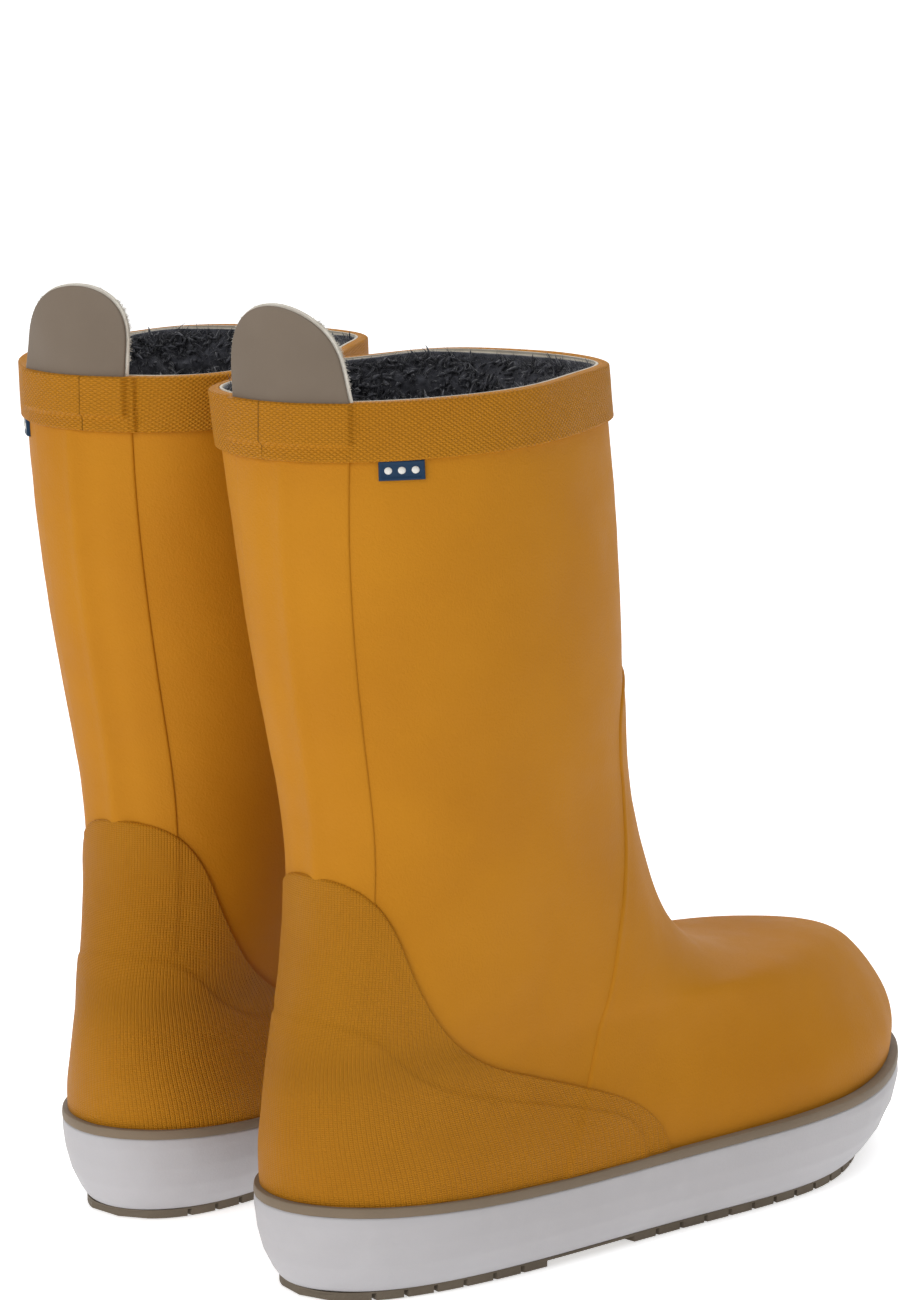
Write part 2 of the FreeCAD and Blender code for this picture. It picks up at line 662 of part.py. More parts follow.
def export(features):
    """Checks every sub-part, then writes one STEP file each."""
    os.makedirs("parts", exist_ok=True)
    for obj in doc.Objects:
        if "Invalid" in obj.State or "Error" in obj.State:
            raise RuntimeError(f"{obj.Label} failed: {obj.State}")
    for feature in features:
        shape = feature.Shape
        if shape.isNull() or not shape.isValid() or not shape.Solids or shape.Volume <= 0:
            raise RuntimeError(f"{feature.Label} has no valid solid")
        print(feature.Label, len(shape.Solids), "solids", round(shape.Volume / 1000, 2), "cm3")
    for feature in features:
        feature.Shape.exportStep(f"parts/{feature.Label}.step")


fill_sheet()
last = Last()
pieces = upper_pieces(last)
pieces.update(sole_pieces(last))
export(place_pair(pieces, shank_body()))
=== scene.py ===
"""A pair of pile-lined rubber deck boots: the looks, the light and the camera."""
import json
import math

import bpy
import numpy as np
from mathutils import Euler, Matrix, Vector


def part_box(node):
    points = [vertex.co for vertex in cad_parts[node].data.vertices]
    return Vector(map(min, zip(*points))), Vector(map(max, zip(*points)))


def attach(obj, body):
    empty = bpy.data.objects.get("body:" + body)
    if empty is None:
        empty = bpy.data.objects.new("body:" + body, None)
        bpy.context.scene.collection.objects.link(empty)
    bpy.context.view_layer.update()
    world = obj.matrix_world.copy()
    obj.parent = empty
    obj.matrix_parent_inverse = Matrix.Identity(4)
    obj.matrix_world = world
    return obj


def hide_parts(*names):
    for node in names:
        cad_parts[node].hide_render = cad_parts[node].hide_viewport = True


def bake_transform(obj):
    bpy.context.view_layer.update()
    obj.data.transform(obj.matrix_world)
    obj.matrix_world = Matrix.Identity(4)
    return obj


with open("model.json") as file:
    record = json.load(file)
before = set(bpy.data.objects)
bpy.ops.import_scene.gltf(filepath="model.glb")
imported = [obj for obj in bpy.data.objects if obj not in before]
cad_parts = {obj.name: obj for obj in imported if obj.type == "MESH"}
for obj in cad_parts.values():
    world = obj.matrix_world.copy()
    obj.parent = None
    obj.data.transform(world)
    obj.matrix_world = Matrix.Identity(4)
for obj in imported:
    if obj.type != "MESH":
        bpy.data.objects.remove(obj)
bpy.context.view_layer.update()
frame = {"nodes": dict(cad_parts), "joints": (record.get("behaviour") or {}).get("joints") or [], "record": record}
MM = 0.001
SIDES = {"right": 1, "left": -1}

# ---------------------------------------------------------------- the last, which every layer follows
# Lengths are in mm in the boot's own frame: x outwards, y towards the toes, z up.
# Back y and z, front y and z, largest half width, roundness, fullness of the front corners and of
# the inner back one.
SECTIONS = [
    (-142.0, 24.0, 148.5, 28.0, 54.0, 0.00, 0.50, 0.50),
    (-144.5, 40.0, 153.5, 47.0, 52.5, 0.00, 0.50, 0.50),
    (-145.5, 54.0, 144.5, 64.0, 47.0, 0.08, 0.50, 0.50),
    (-144.5, 68.0, 124.5, 79.0, 43.0, 0.20, 0.50, 0.50),
    (-141.5, 83.0, 72.0, 82.5, 41.0, 0.42, 0.50, 0.50),
    (-136.5, 100.0, 33.5, 96.5, 41.0, 0.62, 0.50, 0.50),
    (-133.0, 120.0, 15.0, 124.5, 42.0, 0.82, 0.50, 0.50),
    (-132.5, 146.0, 4.5, 153.5, 44.0, 1.00, 0.50, 0.50),
    (-138.0, 181.0, -1.5, 186.0, 48.0, 1.00, 0.50, 0.50),
    (-145.0, 220.0, -6.5, 223.0, 51.2, 1.00, 0.52, 0.50),
    (-149.0, 259.0, -14.0, 263.0, 53.2, 1.00, 0.55, 0.54),
    (-149.0, 292.0, -26.0, 299.0, 53.8, 1.00, 0.66, 0.62),
]
FOOT_OUTER = (0.54, 0.79, 0.91, 0.97, 0.56)
FOOT_INNER = (0.53, 0.72, 0.72, 0.94, 0.70)
OVAL = (0.5, math.sqrt(0.75), 1.0, math.sqrt(0.75), 0.5)
SOLE_OUTER = (0.53, 0.79, 0.91, 0.98, 0.55)
SOLE_INNER = (0.52, 0.72, 0.72, 0.94, 0.69)
SOLE = (-148.0, 156.8, 58.5)
# Sidewall profile: height, inset, pull at the toe.
SIDE_LEVELS = np.array([
    (-3.0, 12.0, 12.0), (2.5, 8.6, 9.0), (7.0, 5.6, 6.5), (12.5, 3.0, 3.8), (19.5, 1.1, 1.2),
    (27.0, 0.1, 0.0), (34.0, 0.4, 0.0), (40.0, 1.0, 0.0),
])
# Edges of the panels in side view: y and z.
COUNTER_EDGE = [
    (-175, 141), (-150, 140), (-131, 138.5), (-123, 130), (-114.5, 108), (-103, 87),
    (-88, 74.5), (-68, 66.5), (-45, 58.5), (-27, 51), (-15, 41), (-10, 22),
]
STIFFENER_EDGE = [
    (-175, 93), (-150, 93), (-132, 91), (-116, 76), (-85, 61.5), (-41, 50), (-27, 43), (-22, 22),
]
VAMP_EDGE = [
    (20, 199), (-6, 197), (-21, 189), (-25, 175), (-21, 157), (-20.5, 143), (-23, 128),
    (-28, 109), (-33, 88), (-42, 62), (-52, 46), (-70, 15),
]
BAND_HEIGHT, TAB_WIDTH, TAB_SHIFT, TAB_RISE, TAB_ROOT = 18.5, 42.5, 6.0, 29.0, 12.0
TAB_LEAN, TAB_TAPER = 3.4, 1.6
STAY_TOP, STAY_LOW, STAY_HIGH_Z, STAY_LOW_Z = 45.0, 37.0, 310.0, 93.0
BADGE_HALF_WIDTH, STUD_PITCH, STUD_RADIUS, STUD_RISE = 7.25, 4.2, 1.25, 0.65
STRIPE_HEIGHT, TREAD_DROP, TOE_SPRING, SEAM_Y = 3.2, 3.2, 4.5, -8.0
TOP_LINE = [
    (-200, 35.0), (-149, 34.0), (-90, 32.0), (-20, 31.5), (60, 32.5), (120, 34.5), (160, 36.5), (210, 39.5),
]
# Thickness of the film of cement between layers.
FILM = 0.2
# How far the toes turn out, in degrees, and where the footbed hinges.
TOE_OUT, BED_HINGE_Y = 7.0, 134.8


def ring_stations(back, front, outer, inner):
    """Twelve points of a closed outline, from the back round the outer side to the front."""
    spots = [(1 - math.cos(math.radians(a))) / 2 for a in (30, 60, 90, 120, 150)]
    back, front = np.array(back, float), np.array(front, float)
    points = [back]
    points += [back + (front - back) * s + (w, 0, 0) for s, w in zip(spots, outer)]
    points += [front]
    points += [back + (front - back) * s - (w, 0, 0) for s, w in list(zip(spots, inner))[::-1]]
    return np.array(points)


def cyclic_bend(points):
    """Second derivatives of the periodic cubic spline through the points."""
    n = len(points)
    matrix = 4 * np.eye(n) + np.roll(np.eye(n), 1, 0) + np.roll(np.eye(n), -1, 0)
    return np.linalg.solve(matrix, 6 * (np.roll(points, -1, 0) - 2 * points + np.roll(points, 1, 0)))


def cyclic_value(points, bend, u):
    n = len(points)
    i = np.floor(u).astype(int)
    t = (u - i)[:, None]
    a, b = i % n, (i + 1) % n
    curve = (t**3 - t) * bend[b] + ((1 - t) ** 3 - (1 - t)) * bend[a]
    return (1 - t) * points[a] + t * points[b] + curve / 6


def bend_matrix(t):
    """From values at the knots to the second derivatives of the natural cubic spline through them."""
    h, n = np.diff(t), len(t)
    left, right = np.eye(n), np.zeros((n, n))
    for i in range(1, n - 1):
        left[i, i - 1:i + 2] = h[i - 1], 2 * (h[i - 1] + h[i]), h[i]
        right[i, i - 1:i + 2] = 6 / h[i - 1], -6 / h[i - 1] - 6 / h[i], 6 / h[i]
    return np.linalg.solve(left, right)


def section_stations(values):
    back_y, back_z, front_y, front_z, half, oval_share, corner, back_corner = values
    outer_oval, inner_oval = OVAL[:4] + (corner,), (back_corner,) + OVAL[1:4] + (corner,)

    def widths(foot, oval):
        return [half * ((1 - oval_share) * f + oval_share * o) for f, o in zip(foot, oval)]

    outer, inner = widths(FOOT_OUTER, outer_oval), widths(FOOT_INNER, inner_oval)
    return ring_stations((0, back_y, back_z), (0, front_y, front_z), outer, inner)


class Last:
    """Surface of the boot: u runs round it from the back, 0 to 12, and v up it in mm."""

    def __init__(self):
        self.rings = [section_stations(s) for s in SECTIONS]
        self.bends = [cyclic_bend(r) for r in self.rings]
        steps = [np.linalg.norm(b - a, axis=1).mean() for a, b in zip(self.rings, self.rings[1:])]
        self.knots = np.concatenate([[0], np.cumsum(steps)])
        self.bend_matrix = bend_matrix(self.knots)
        self.top = self.knots[-1]

    def base(self, u, v):
        rows = np.array([cyclic_value(r, b, u) for r, b in zip(self.rings, self.bends)])
        bends = np.einsum("ij,jnk->ink", self.bend_matrix, rows)
        i = np.clip(np.searchsorted(self.knots, v) - 1, 0, len(self.knots) - 2)
        h = (self.knots[i + 1] - self.knots[i])[:, None]
        t = ((v - self.knots[i]) / h[:, 0])[:, None]
        n = np.arange(len(u))
        curve = (t**3 - t) * bends[i + 1, n] + ((1 - t) ** 3 - (1 - t)) * bends[i, n]
        return (1 - t) * rows[i, n] + t * rows[i + 1, n] + curve * h**2 / 6

    def point_and_normal(self, u, v):
        shape = u.shape
        u, v = u.ravel(), v.ravel()
        here = self.base(u, v)
        across = self.base(u + 0.02, v) - self.base(u - 0.02, v)
        along = self.base(u, v + 0.4) - self.base(u, v - 0.4)
        normal = np.cross(across, along)
        normal /= np.linalg.norm(normal, axis=1)[:, None]
        return here.reshape(*shape, 3), normal.reshape(*shape, 3)

    def grid(self, u, v):
        return self.base(u.ravel(), v.ravel()).reshape(*u.shape, 3)


last = Last()


def wobble(p, scale, seed):
    """Smooth noise of about unit size over points in mm; scale is its wavelength."""
    rng = np.random.default_rng(seed)
    total = np.zeros(p.shape[:-1])
    for _ in range(7):
        direction = rng.normal(size=3)
        direction *= 2 * math.pi / (scale * rng.uniform(0.6, 1.6)) / np.linalg.norm(direction)
        total += np.sin(p @ direction + rng.uniform(0, 6.28)) * rng.uniform(0.4, 1.0)
    return total / 2.6


def on_last(u, v, offset):
    """Points at an offset outside the last, with the soft unevenness of dipped rubber."""
    point, normal = last.point_and_normal(u, v)
    uneven = 0.22 * wobble(point, 55.0, 3) + 0.06 * wobble(point, 17.0, 4)
    return point + normal * (offset + uneven)[..., None]


def smooth(x):
    x = np.clip(x, 0, 1)
    return x * x * (3 - 2 * x)


# ---------------------------------------------------------------- panel edges, in side view
def dense_curve(edge, n=260):
    """The smooth curve through the edge's points."""
    p = np.array(edge, float)
    t = np.concatenate([[0], np.cumsum(np.linalg.norm(np.diff(p, axis=0), axis=1))])
    h, bend = np.diff(t), bend_matrix(t) @ p
    s = np.linspace(0, t[-1], n)
    i = np.clip(np.searchsorted(t, s) - 1, 0, len(t) - 2)
    x = ((s - t[i]) / h[i])[:, None]
    curve = (x**3 - x) * bend[i + 1] + ((1 - x) ** 3 - (1 - x)) * bend[i]
    return (1 - x) * p[i] + x * p[i + 1] + curve * (h[i] ** 2)[:, None] / 6


EDGES = {name: dense_curve(e) for name, e in
         (("counter", COUNTER_EDGE), ("stiffener", STIFFENER_EDGE), ("vamp", VAMP_EDGE))}


def edge_distance(name, p):
    """Signed side-view distance to an edge: positive to the right of its direction."""
    curve = EDGES[name]
    shape = p.shape[:-1]
    q = p.reshape(-1, 3)[:, 1:]
    out = np.empty(len(q))
    for start in range(0, len(q), 20000):
        block = q[start:start + 20000]
        gap = block[:, None, :] - curve[None, :, :]
        near = np.clip((gap**2).sum(2).argmin(1), 1, len(curve) - 2)
        along = curve[near + 1] - curve[near - 1]
        along /= np.linalg.norm(along, axis=1)[:, None]
        rel = block - curve[near]
        across = along[:, 1] * rel[:, 0] - along[:, 0] * rel[:, 1]
        far = np.sqrt((rel**2).sum(1))
        out[start:start + 20000] = np.where(np.abs(across) < 1e-9, 0, np.sign(across) * far)
    return out.reshape(shape)


def rim_height(y):
    s = SECTIONS[-1]
    return s[1] + (s[3] - s[1]) * (y - s[0]) / (s[2] - s[0])


def find(test, low, high, steps=34):
    """Where the test changes sign between low and high, for whole arrays."""
    low, high = low.copy(), high.copy()
    sign = np.sign(test(low))
    for _ in range(steps):
        middle = (low + high) / 2
        same = np.sign(test(middle)) == sign
        low, high = np.where(same, middle, low), np.where(same, high, middle)
    return (low + high) / 2


LIP = np.array([0.0, 0.12, 0.32, 0.6, 1.0])


def spread(a, b, speed, n, lip_a=True, radius=1.0):
    """Parameters from a to b, gathered at the lips, and each one's distance to its lip."""
    length = np.maximum((b - a) * speed, 1e-6)
    reach = np.minimum(radius, length * 0.3)
    t = [LIP[:-1][None, :] * (reach / length)[:, None]] if lip_a else []
    start = (reach / length if lip_a else 0 * length)[:, None]
    stop = (1 - reach / length)[:, None]
    t += [start + (stop - start) * np.linspace(0, 1, n)[None, :]]
    t += [1 - LIP[:-1][::-1][None, :] * (reach / length)[:, None]]
    t = np.concatenate(t, axis=1)
    scale = length[:, None] * radius / reach[:, None]
    gap = np.minimum((1 - t) * scale, t * scale if lip_a else 99.0)
    return a[:, None] + (b - a)[:, None] * t, gap


def rounded(gap, radius=1.0):
    """Share of the full thickness at a distance from the lip, as a quarter circle."""
    x = 1 - np.clip(gap / radius, 0, 1)
    return np.sqrt(np.clip(1 - x * x, 0, 1))


# ---------------------------------------------------------------- meshes
def joint(name):
    return next(j for j in frame["joints"] if j["name"] == name)


class Boot:
    """One boot of the pair: turns points in the boot's own frame, in mm, into pieces."""

    def __init__(self, name):
        self.name, self.side = name, SIDES[name]
        angle = math.radians(-self.side * TOE_OUT)
        self.cos, self.sin = math.cos(angle), math.sin(angle)
        hinge = np.array(joint(name + "_footbed_lift")["pos_m"]) / MM
        self.base = hinge - self.turned(np.array([0, BED_HINGE_Y, hinge[2]]))
        self.base[2] = 0.0

    def turned(self, p):
        x, y, z = p[..., 0] * self.side, p[..., 1], p[..., 2]
        return np.stack([x * self.cos - y * self.sin, x * self.sin + y * self.cos, z], axis=-1)

    def world(self, p):
        return (self.turned(np.asarray(p, float)) + self.base) * MM

    def piece(self, name, points, faces, uv, slot, body="boot", replaces=()):
        """A mesh with its material, riding on one of the boot's bodies unless body is None."""
        mesh = bpy.data.meshes.new(f"{self.name}_{name}")
        faces = [f[::-1] for f in faces] if self.side < 0 else faces
        mesh.from_pydata(self.world(points).tolist(), [], faces)
        mesh.polygons.foreach_set("use_smooth", [True] * len(mesh.polygons))
        if uv is not None:
            layer = mesh.uv_layers.new(name="mm")
            index = np.empty(len(mesh.loops), int)
            mesh.loops.foreach_get("vertex_index", index)
            layer.data.foreach_set("uv", np.asarray(uv, float)[index].ravel())
        mesh.materials.append(MATERIALS[slot])
        mesh.update()
        obj = bpy.data.objects.new(f"{self.name}_{name}", mesh)
        bpy.context.scene.collection.objects.link(obj)
        if body:
            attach(obj, f"{self.name}_{body}")
        if replaces:
            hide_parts(*[f"{self.name}_{r}" for r in replaces])
        return obj


def grid_faces(rows, cols, closed, start=0):
    """Quads of a grid of points; a closed grid joins its last column to its first."""
    r, c = np.meshgrid(np.arange(rows - 1), np.arange(cols if closed else cols - 1), indexing="ij")
    r, c = r.ravel(), c.ravel()
    d = (c + 1) % cols
    quads = np.stack([r * cols + c, r * cols + d, (r + 1) * cols + d, (r + 1) * cols + c], axis=1)
    return (quads + start).tolist()


def girth(u):
    """Length round the boot at ankle height, for the surface patterns."""
    table = np.linspace(-6, 18, 1201)
    p = last.base(table, np.full(table.shape, 190.0))
    run = np.concatenate([[0], np.cumsum(np.linalg.norm(np.diff(p, axis=0), axis=1))])
    return np.interp(u, table, run)


def skirted(u, v, outer, inner):
    """Pads a grid with a border that drops to the inner offset."""
    u, v, outer = (np.pad(a, 1, mode="edge") for a in (u, v, outer))
    edge = np.ones(outer.shape, bool)
    edge[1:-1, 1:-1] = False
    return u, v, np.where(edge, inner, outer)


def surface_uv(u, v):
    return np.stack([girth(u.ravel()), v.ravel()], axis=1)


def panel(boot, name, u, v, outer, inner, material, replaces):
    """A sheet of rubber over the last: a grid of u and v with its outer offset, and its skirt."""
    u, v, outer = skirted(u, v, outer, inner)
    points = on_last(u, v, outer).reshape(-1, 3)
    faces = grid_faces(*u.shape, False)
    return boot.piece(name, points, faces, surface_uv(u, v), material, replaces=replaces)


# ---------------------------------------------------------------- materials
class Nodes:
    """Short way to build a material's node tree."""

    def __init__(self, name):
        self.material = bpy.data.materials.new(name)
        self.material.use_nodes = True
        self.tree = self.material.node_tree
        self.shader = self.tree.nodes["Principled BSDF"]

    def add(self, kind, inputs=None, **settings):
        node = self.tree.nodes.new(kind)
        for key, value in settings.items():
            setattr(node, key, value)
        for key, value in (inputs or {}).items():
            self.put(node, key, value)
        return node

    def put(self, node, key, value):
        """Links a socket to a node's input, or sets the input's value."""
        if isinstance(value, bpy.types.NodeSocket):
            self.tree.links.new(value, node.inputs[key])
        else:
            node.inputs[key].default_value = value

    def math(self, operation, a, b=0.0):
        return self.add("ShaderNodeMath", {0: a, 1: b}, operation=operation).outputs[0]

    def noise(self, vector, scale, detail=4.0, roughness=0.55):
        node = self.add("ShaderNodeTexNoise", {"Vector": vector, "Scale": scale, "Detail": detail,
                                               "Roughness": roughness})
        return node.outputs["Fac"]

    def ramp(self, value, low, high):
        node = self.add("ShaderNodeMapRange", {"Value": value, "From Min": low, "From Max": high})
        return node.outputs["Result"]

    def mix(self, factor, a, b):
        node = self.add("ShaderNodeMix", {0: factor}, data_type="RGBA")
        self.put(node, 6, a)
        self.put(node, 7, b)
        return node.outputs[2]

    def bump(self, height, distance, strength=1.0, normal=None):
        inputs = {"Height": height, "Distance": distance, "Strength": strength}
        if normal is not None:
            inputs["Normal"] = normal
        return self.add("ShaderNodeBump", inputs).outputs["Normal"]

    def finish(self, **inputs):
        for key, value in inputs.items():
            self.put(self.shader, key.replace("_", " "), value)
        return self.material


def rgba(*rgb):
    return (*rgb, 1.0)


YELLOW = rgba(0.47, 0.190, 0.008), rgba(0.425, 0.165, 0.006), rgba(0.49, 0.205, 0.012)


def surface_mm(n):
    """The surface's own coordinates in mm: along the girth and up the boot."""
    uv = n.add("ShaderNodeUVMap", uv_map="mm").outputs["UV"]
    split = n.add("ShaderNodeSeparateXYZ", {0: uv}).outputs
    return split[0], split[1]


def wave(n, value, pitch):
    return n.math("SINE", n.math("MULTIPLY", value, 2 * math.pi / pitch))


def weave_height(n, pitch):
    """Basket weave: small raised cells in staggered rows, longer round the boot than up it."""
    x, y = surface_mm(n)
    cells = n.math("MULTIPLY", wave(n, x, pitch * 2), wave(n, y, pitch * 1.5))
    threads = n.math("MULTIPLY", n.math("ABSOLUTE", wave(n, x, pitch)), 0.3)
    raised = n.math("POWER", n.math("ABSOLUTE", cells), 0.6)
    return n.math("ADD", n.math("MULTIPLY", raised, 0.85), threads)


def diamond_height(n, pitch):
    """Small raised diamonds in staggered rows."""
    x, y = surface_mm(n)
    steep = n.math("MULTIPLY", y, 1.32)
    first = n.math("ABSOLUTE", wave(n, n.math("ADD", x, steep), pitch * 2))
    second = n.math("ABSOLUTE", wave(n, n.math("SUBTRACT", x, steep), pitch * 2))
    return n.math("POWER", n.math("MULTIPLY", first, second), 0.7)


def rubber(name, base, deep, pale, roughness=0.55, grain=0.00012, pattern=None, pitch=1.0, depth=0.0):
    """Matt moulded rubber: fine grain, slow colour drift, paler high spots, and a moulded pattern with painted
    shade in its hollows.

    grain and depth are the heights of the fine grain and of the pattern, in metres; pitch is the
    pattern's, in mm.
    """
    n = Nodes(name)
    where = n.add("ShaderNodeTexCoord").outputs["Object"]
    drift = n.noise(where, 14.0, 3.0)
    fine = n.noise(where, 700.0, 5.0, 0.65)
    cloud = n.noise(where, 60.0, 4.0)
    colour = n.mix(n.ramp(drift, 0.35, 0.7), base, deep)
    colour = n.mix(n.math("MULTIPLY", n.ramp(cloud, 0.5, 0.8), 0.25), colour, pale)
    normal = n.bump(fine, grain, 1.0)
    if pattern == "sheet":
        normal = n.bump(n.noise(where, 1300.0, 2.0, 0.6), depth, 1.0, normal)
    elif pattern:
        height = pattern(n, pitch)
        # Painted shade: where the pattern is low, the colour is mixed towards a darker copy of the deeper colour.
        low = n.math("SUBTRACT", 1.0, n.math("MINIMUM", height, 1.0))
        hollow_shade = rgba(*(0.55 * c for c in deep[:3]))
        colour = n.mix(n.math("MULTIPLY", low, 0.24), colour, hollow_shade)
        normal = n.bump(height, depth, 1.0, normal)
    rough = n.math("ADD", n.math("MULTIPLY", n.ramp(cloud, 0.3, 0.7), 0.12), roughness)
    return n.finish(Base_Color=colour, Roughness=rough, Normal=normal, Specular_IOR_Level=0.12)


def pile(name, dark, light, depth=0.0006):
    """Shaggy pile: broken-up dark and light fibres with a soft sheen."""
    n = Nodes(name)
    where = n.add("ShaderNodeTexCoord").outputs["Object"]
    clumps = n.noise(where, 260.0, 6.0, 0.7)
    fibres = n.noise(where, 1500.0, 4.0, 0.7)
    colour = n.mix(n.ramp(clumps, 0.38, 0.66), dark, light)
    colour = n.mix(n.math("MULTIPLY", n.ramp(fibres, 0.4, 0.7), 0.4), colour, light)
    normal = n.bump(fibres, depth * 0.4, 0.9, n.bump(clumps, depth, 1.0))
    return n.finish(Base_Color=colour, Roughness=0.95, Normal=normal, Specular_IOR_Level=0.15,
                    Sheen_Weight=0.5, Sheen_Roughness=0.4)


def cloth(name, base, deep, pitch):
    """Plain woven cloth or felt with a fibrous surface."""
    n = Nodes(name)
    where = n.add("ShaderNodeTexCoord").outputs["Object"]
    fibres = n.noise(where, 1800.0, 5.0, 0.7)
    blot = n.noise(where, 90.0, 4.0)
    weave = {"Vector": where, "Scale": 1 / pitch, "Distortion": 1.5}
    threads = n.add("ShaderNodeTexWave", weave).outputs["Fac"]
    colour = n.mix(n.ramp(blot, 0.35, 0.7), base, deep)
    colour = n.mix(n.math("MULTIPLY", n.ramp(fibres, 0.5, 0.75), 0.5), colour, deep)
    normal = n.bump(fibres, 0.0003, 1.0, n.bump(threads, 0.0001, 0.5))
    return n.finish(Base_Color=colour, Roughness=0.9, Normal=normal, Specular_IOR_Level=0.2,
                    Sheen_Weight=0.3)


def steel(name):
    """Spring steel with the fine lines of rolling."""
    n = Nodes(name)
    where = n.add("ShaderNodeTexCoord").outputs["Object"]
    brushed = n.add("ShaderNodeMapping", {"Vector": where, "Scale": (900.0, 12.0, 900.0)}).outputs[0]
    lines = n.noise(brushed, 1.0, 3.0)
    rough = n.math("ADD", n.math("MULTIPLY", lines, 0.2), 0.25)
    return n.finish(Base_Color=rgba(0.5, 0.5, 0.52), Metallic=1.0, Roughness=rough,
                    Normal=n.bump(lines, 0.00005, 0.5))


# Each rubber's main, deeper and paler colours, then its other settings.
RUBBERS = {
    "yellow_rubber": (*YELLOW, 0.55, 0.00009, "sheet", 1.0, 0.00016),
    "yellow_rubber_weave": (*YELLOW, 0.5, 0.00006, weave_height, 1.05, 0.0003),
    "yellow_rubber_diamond": (*YELLOW, 0.5, 0.00006, diamond_height, 1.9, 0.0004),
    "stiff_rubber": (rgba(0.05, 0.05, 0.05), rgba(0.03, 0.03, 0.03), rgba(0.1, 0.1, 0.1)),
    "taupe_rubber": (
        rgba(0.180, 0.142, 0.108), rgba(0.155, 0.121, 0.09),
        rgba(0.21, 0.17, 0.132), 0.42, 0.00008,
    ),
    "navy_badge": (
        rgba(0.015, 0.04, 0.085), rgba(0.01, 0.03, 0.06),
        rgba(0.05, 0.08, 0.13), 0.35, 0.00005,
    ),
    "pale_badge": (rgba(0.72, 0.71, 0.67), rgba(0.6, 0.59, 0.55), rgba(0.8, 0.8, 0.78), 0.4, 0.00005),
    "pale_rubber": (
        rgba(0.47, 0.46, 0.475), rgba(0.43, 0.418, 0.43),
        rgba(0.53, 0.52, 0.53), 0.42, 0.0001,
    ),
    "stripe_rubber": (
        rgba(0.215, 0.165, 0.115), rgba(0.18, 0.138, 0.096),
        rgba(0.27, 0.215, 0.16), 0.45, 0.0001,
    ),
    "filler_foam": (rgba(0.35, 0.32, 0.28), rgba(0.28, 0.25, 0.22), rgba(0.42, 0.4, 0.36), 0.8, 0.0003),
    "tread_rubber": (
        rgba(0.16, 0.13, 0.095), rgba(0.11, 0.088, 0.065),
        rgba(0.24, 0.2, 0.16), 0.6, 0.0002,
    ),
}
# Each cloth's two colours and the pitch of its weave, in metres.
CLOTHS = {
    "canvas": (rgba(0.72, 0.66, 0.55), rgba(0.55, 0.49, 0.4), 0.002),
    "pale_felt": (rgba(0.74, 0.70, 0.62), rgba(0.6, 0.55, 0.47), 0.0015),
    "fibre_board": (rgba(0.4, 0.3, 0.2), rgba(0.3, 0.22, 0.14), 0.003),
    "footbed_foam": (rgba(0.08, 0.08, 0.09), rgba(0.05, 0.05, 0.055), 0.002),
}
MATERIALS = {name: rubber(name, *values) for name, values in RUBBERS.items()}
MATERIALS.update({name: cloth(name, *values) for name, values in CLOTHS.items()})
MATERIALS["grey_pile"] = pile("grey_pile", rgba(0.024, 0.025, 0.031), rgba(0.098, 0.100, 0.116))
MATERIALS["spring_steel"] = steel("spring_steel")
node_slots = {s["node"]: s["material_slot"] for s in frame["record"]["subparts"]}
for node_name, node in frame["nodes"].items():
    node.data.materials.clear()
    node.data.materials.append(MATERIALS[node_slots[node_name]])
    node.data.polygons.foreach_set("use_smooth", [True] * len(node.data.polygons))


# ---------------------------------------------------------------- the upper
def line_of(v_value, u):
    return np.full(u.shape, v_value)


def edge_height(name, u, low, high):
    """v at which the boot's surface crosses a side-view edge, for each u."""
    def test(v):
        return edge_distance(name, last.base(u, v))
    return find(test, line_of(low, u), line_of(high, u))


def make_shell(boot):
    """Leg and foot in one rubber shell, with a rounded rim that turns in over the canvas."""
    u = np.linspace(0, 12, 300, endpoint=False)
    lip = 1.2
    v = np.linspace(0, last.top - lip, 132)
    v = np.concatenate([v, last.top - lip * (1 - np.array([0.4, 0.75, 0.95, 1.0]))])
    uu, vv = np.meshgrid(u, v)
    rows = [(uu, vv, -0.5 + 0.5 * rounded(last.top - vv, 0.9))]
    for down, depth in ((0.0, -1.1), (0.0, -1.5), (14.0, -1.6)):
        rows.append((uu[-1:], vv[-1:] - down, np.full_like(uu[-1:], depth)))
    uu, vv, outer = (np.concatenate(parts) for parts in zip(*rows))
    points = on_last(uu, vv, outer).reshape(-1, 3)
    boot.piece("upper_shell", points, grid_faces(*uu.shape, True), surface_uv(uu, vv), "yellow_rubber",
               replaces=["upper_shell"])


def make_canvas(boot):
    """Pale canvas layer, seen as a thin line inside the rim."""
    u = np.linspace(0, 12, 240, endpoint=False)
    v = last.top - np.array([60.0, 30.0, 8.0, 1.0, 0.45, 0.25, 0.25, 0.45, 8.0, 30.0])
    depth = np.array([-1.8, -1.8, -1.8, -1.8, -1.85, -2.05, -2.4, -2.6, -2.6, -2.6])
    uu, vv = np.meshgrid(u, v)
    points = on_last(uu, vv, np.repeat(depth[:, None], len(u), axis=1))
    boot.piece("canvas_edge", points.reshape(-1, 3), grid_faces(*uu.shape, True), None, "canvas")


